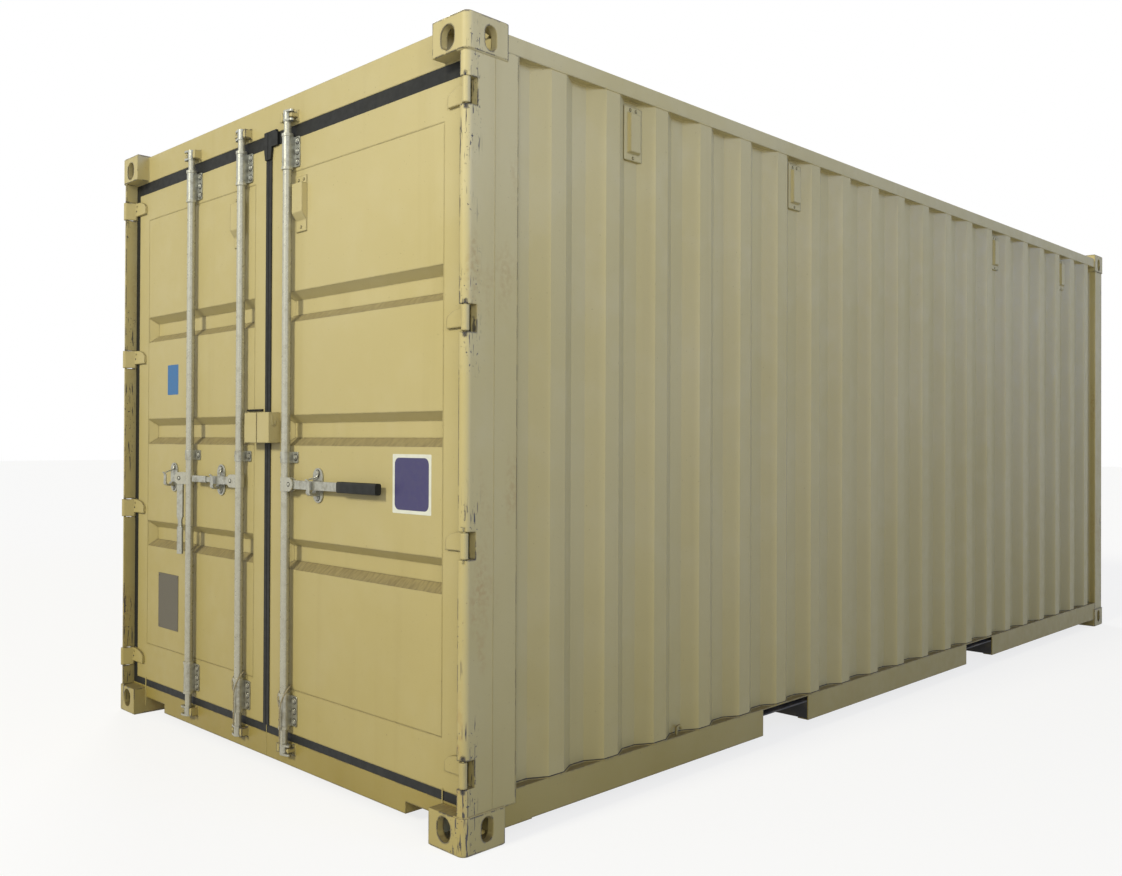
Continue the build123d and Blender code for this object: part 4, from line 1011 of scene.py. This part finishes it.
def board_seams():
    """Dark joints and screw rows of the floor boards."""
    seams = Heap("board_seams", "root", dark_joint_and_shade, "floor_board")
    screws = Heap("board_screws", "root", zinc, "floor_board")
    half = 0.5 * (floor_high.x - floor_low.x)
    length = floor_high.y - floor_low.y - 2 * BOARD_MARGIN
    seam_end = half - BOARD_SIDE_MARGIN
    row_half = half - SCREW_SIDE_MARGIN
    for row in range(BOARD_ROWS + 1):
        y = floor_low.y + BOARD_MARGIN + length * row / BOARD_ROWS
        level_strip(seams, (-seam_end, seam_end), (y - SEAM_HALF, y + SEAM_HALF), floor_high.z)
        if 0 < row < BOARD_ROWS:
            for offset in (-SCREW_FROM_SEAM, SCREW_FROM_SEAM):
                for step in range(BOARD_SCREWS):
                    x = -row_half + 2 * row_half * step / (BOARD_SCREWS - 1)
                    rivet(screws, (x, y + offset, floor_high.z), (0, 0, 1), SCREW_RADIUS)
    y_range = (floor_low.y + BOARD_MARGIN, floor_high.y - BOARD_MARGIN)
    level_strip(seams, (-SEAM_HALF, SEAM_HALF), y_range, floor_high.z)
    seams.place()
    screws.place()


def level_strip(heap, x_range, y_range, z):
    """Add a flat strip just above a level face."""
    corners = [(x_range[side], y_range[end]) for side, end in ((0, 0), (1, 0), (1, 1), (0, 1))]
    rings = [[Vector((x, y, level)) for x, y in corners] for level in (z, z + SEAM_THICKNESS)]
    stitch(heap, rings, closed=True)


def tie_rope(index):
    """One rope on a smooth curve through the route of the CAD tube."""
    name = f"rope_{index}"
    rod_x = RODS[index]
    curve = bpy.data.curves.new(name + "_cord", "CURVE")
    curve.dimensions = "3D"
    curve.bevel_depth = ROPE_DIAMETER / 2
    curve.bevel_resolution = 3
    curve.resolution_u = 12
    curve.use_fill_caps = True
    spline = curve.splines.new("NURBS")
    spline.points.add(len(ROPE_OFFSETS) - 1)
    for point, (x, y, z) in zip(spline.points, ROPE_OFFSETS):
        point.co = (rod_x + x / 1000, ROD_Y + y / 1000, SLEEVE_TOP + z / 1000, 1)
    spline.order_u = 3
    spline.use_endpoint_u = True
    rope = bpy.data.objects.new(name + "_cord", curve)
    scene.collection.objects.link(rope)
    curve.materials.append(rope_fibre)
    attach(rope, leaf_of(index)[0])
    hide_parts(name)
    x, y, z = ROPE_OFFSETS[0]


# Surroundings
def seen_rays(tree):
    """One for rays that show the surroundings: straight, mirrored or through glass."""
    path = put(tree, "ShaderNodeLightPath").outputs
    mirrored_rays = combine(tree, "MAXIMUM", path["Is Glossy Ray"], path["Is Transmission Ray"])
    return combine(tree, "MAXIMUM", path["Is Camera Ray"], mirrored_rays)


def pale_floor():
    """A level floor, white to the eye, that keeps the object's shadow."""
    mesh = bpy.data.meshes.new("floor_plane")
    signs = ((-1, -1), (1, -1), (1, 1), (-1, 1))
    corners = [(x * GROUND_REACH, y * GROUND_REACH, 0) for x, y in signs]
    mesh.from_pydata(corners, [], [(0, 1, 2, 3)])
    ground = bpy.data.objects.new("floor_plane", mesh)
    material, tree, _ = new_material("pale_floor")
    seen = seen_rays(tree)
    shade = put(tree, "ShaderNodeBsdfDiffuse", {"Color": mix(tree, seen, GROUND_LIT, GROUND_SEEN)})
    glow = put(tree, "ShaderNodeEmission", {"Color": (1, 1, 1, 1), "Strength": 1.0})
    share = combine(tree, "MULTIPLY", seen, GROUND_GLOW)
    blend = put(tree, "ShaderNodeMixShader", {0: share, 1: shade.outputs[0], 2: glow.outputs[0]})
    put(tree, "ShaderNodeOutputMaterial", {0: blend.outputs[0]})
    mesh.materials.append(material)
    scene.collection.objects.link(ground)


def pale_world():
    """White to the eye and in mirrors, a lower even light on everything."""
    world = bpy.data.worlds.new("world")
    scene.world = world
    world.use_nodes = True
    tree = world.node_tree
    background = tree.nodes["Background"]
    background.inputs["Color"].default_value = (1.0, 1.0, 1.0, 1)
    strength = between(tree, seen_rays(tree), 0.0, 1.0, WORLD_LIGHT, 1.0)
    tree.links.new(strength, background.inputs["Strength"])


def lamp(name, place, strength, colour, spread):
    """A sun that shines from the side of this place, its disc this many degrees wide."""
    data = bpy.data.lights.new(name, "SUN")
    data.energy = strength
    data.angle = math.radians(spread)
    data.color = colour
    item = bpy.data.objects.new(name, data)
    item.rotation_euler = Vector(place).to_track_quat("Z", "Y").to_euler()
    scene.collection.objects.link(item)


def side_light():
    """A broad lamp beside the camera, so that the side wall is brightest at its near end."""
    data = bpy.data.lights.new("side", "AREA")
    data.energy = SIDE_LIGHT
    data.color = SIDE_COLOUR
    data.size = SIDE_SIZE
    item = bpy.data.objects.new("side", data)
    item.location = SIDE_PLACE
    away = Vector(SIDE_PLACE) - Vector(SIDE_TARGET)
    item.rotation_euler = away.to_track_quat("Z", "Y").to_euler()
    item.visible_camera = False
    item.visible_glossy = False
    scene.collection.objects.link(item)


make_camera()
finish_nodes()
rod_fasteners()
leaf_details("left", -1)
leaf_details("right", 1)
bare_panels()
frame_welds()
vent_screws()
wall_welds()
board_seams()
tie_rope(2)
tie_rope(3)
pale_floor()
pale_world()
lamp("key", KEY_PLACE, KEY_LIGHT, KEY_COLOUR, KEY_SPREAD)
lamp("fill", FILL_PLACE, FILL_LIGHT, FILL_COLOUR, FILL_SPREAD)
lamp("back", BACK_PLACE, BACK_LIGHT, BACK_COLOUR, BACK_SPREAD)
side_light()
scene.view_settings.view_transform = "Standard"
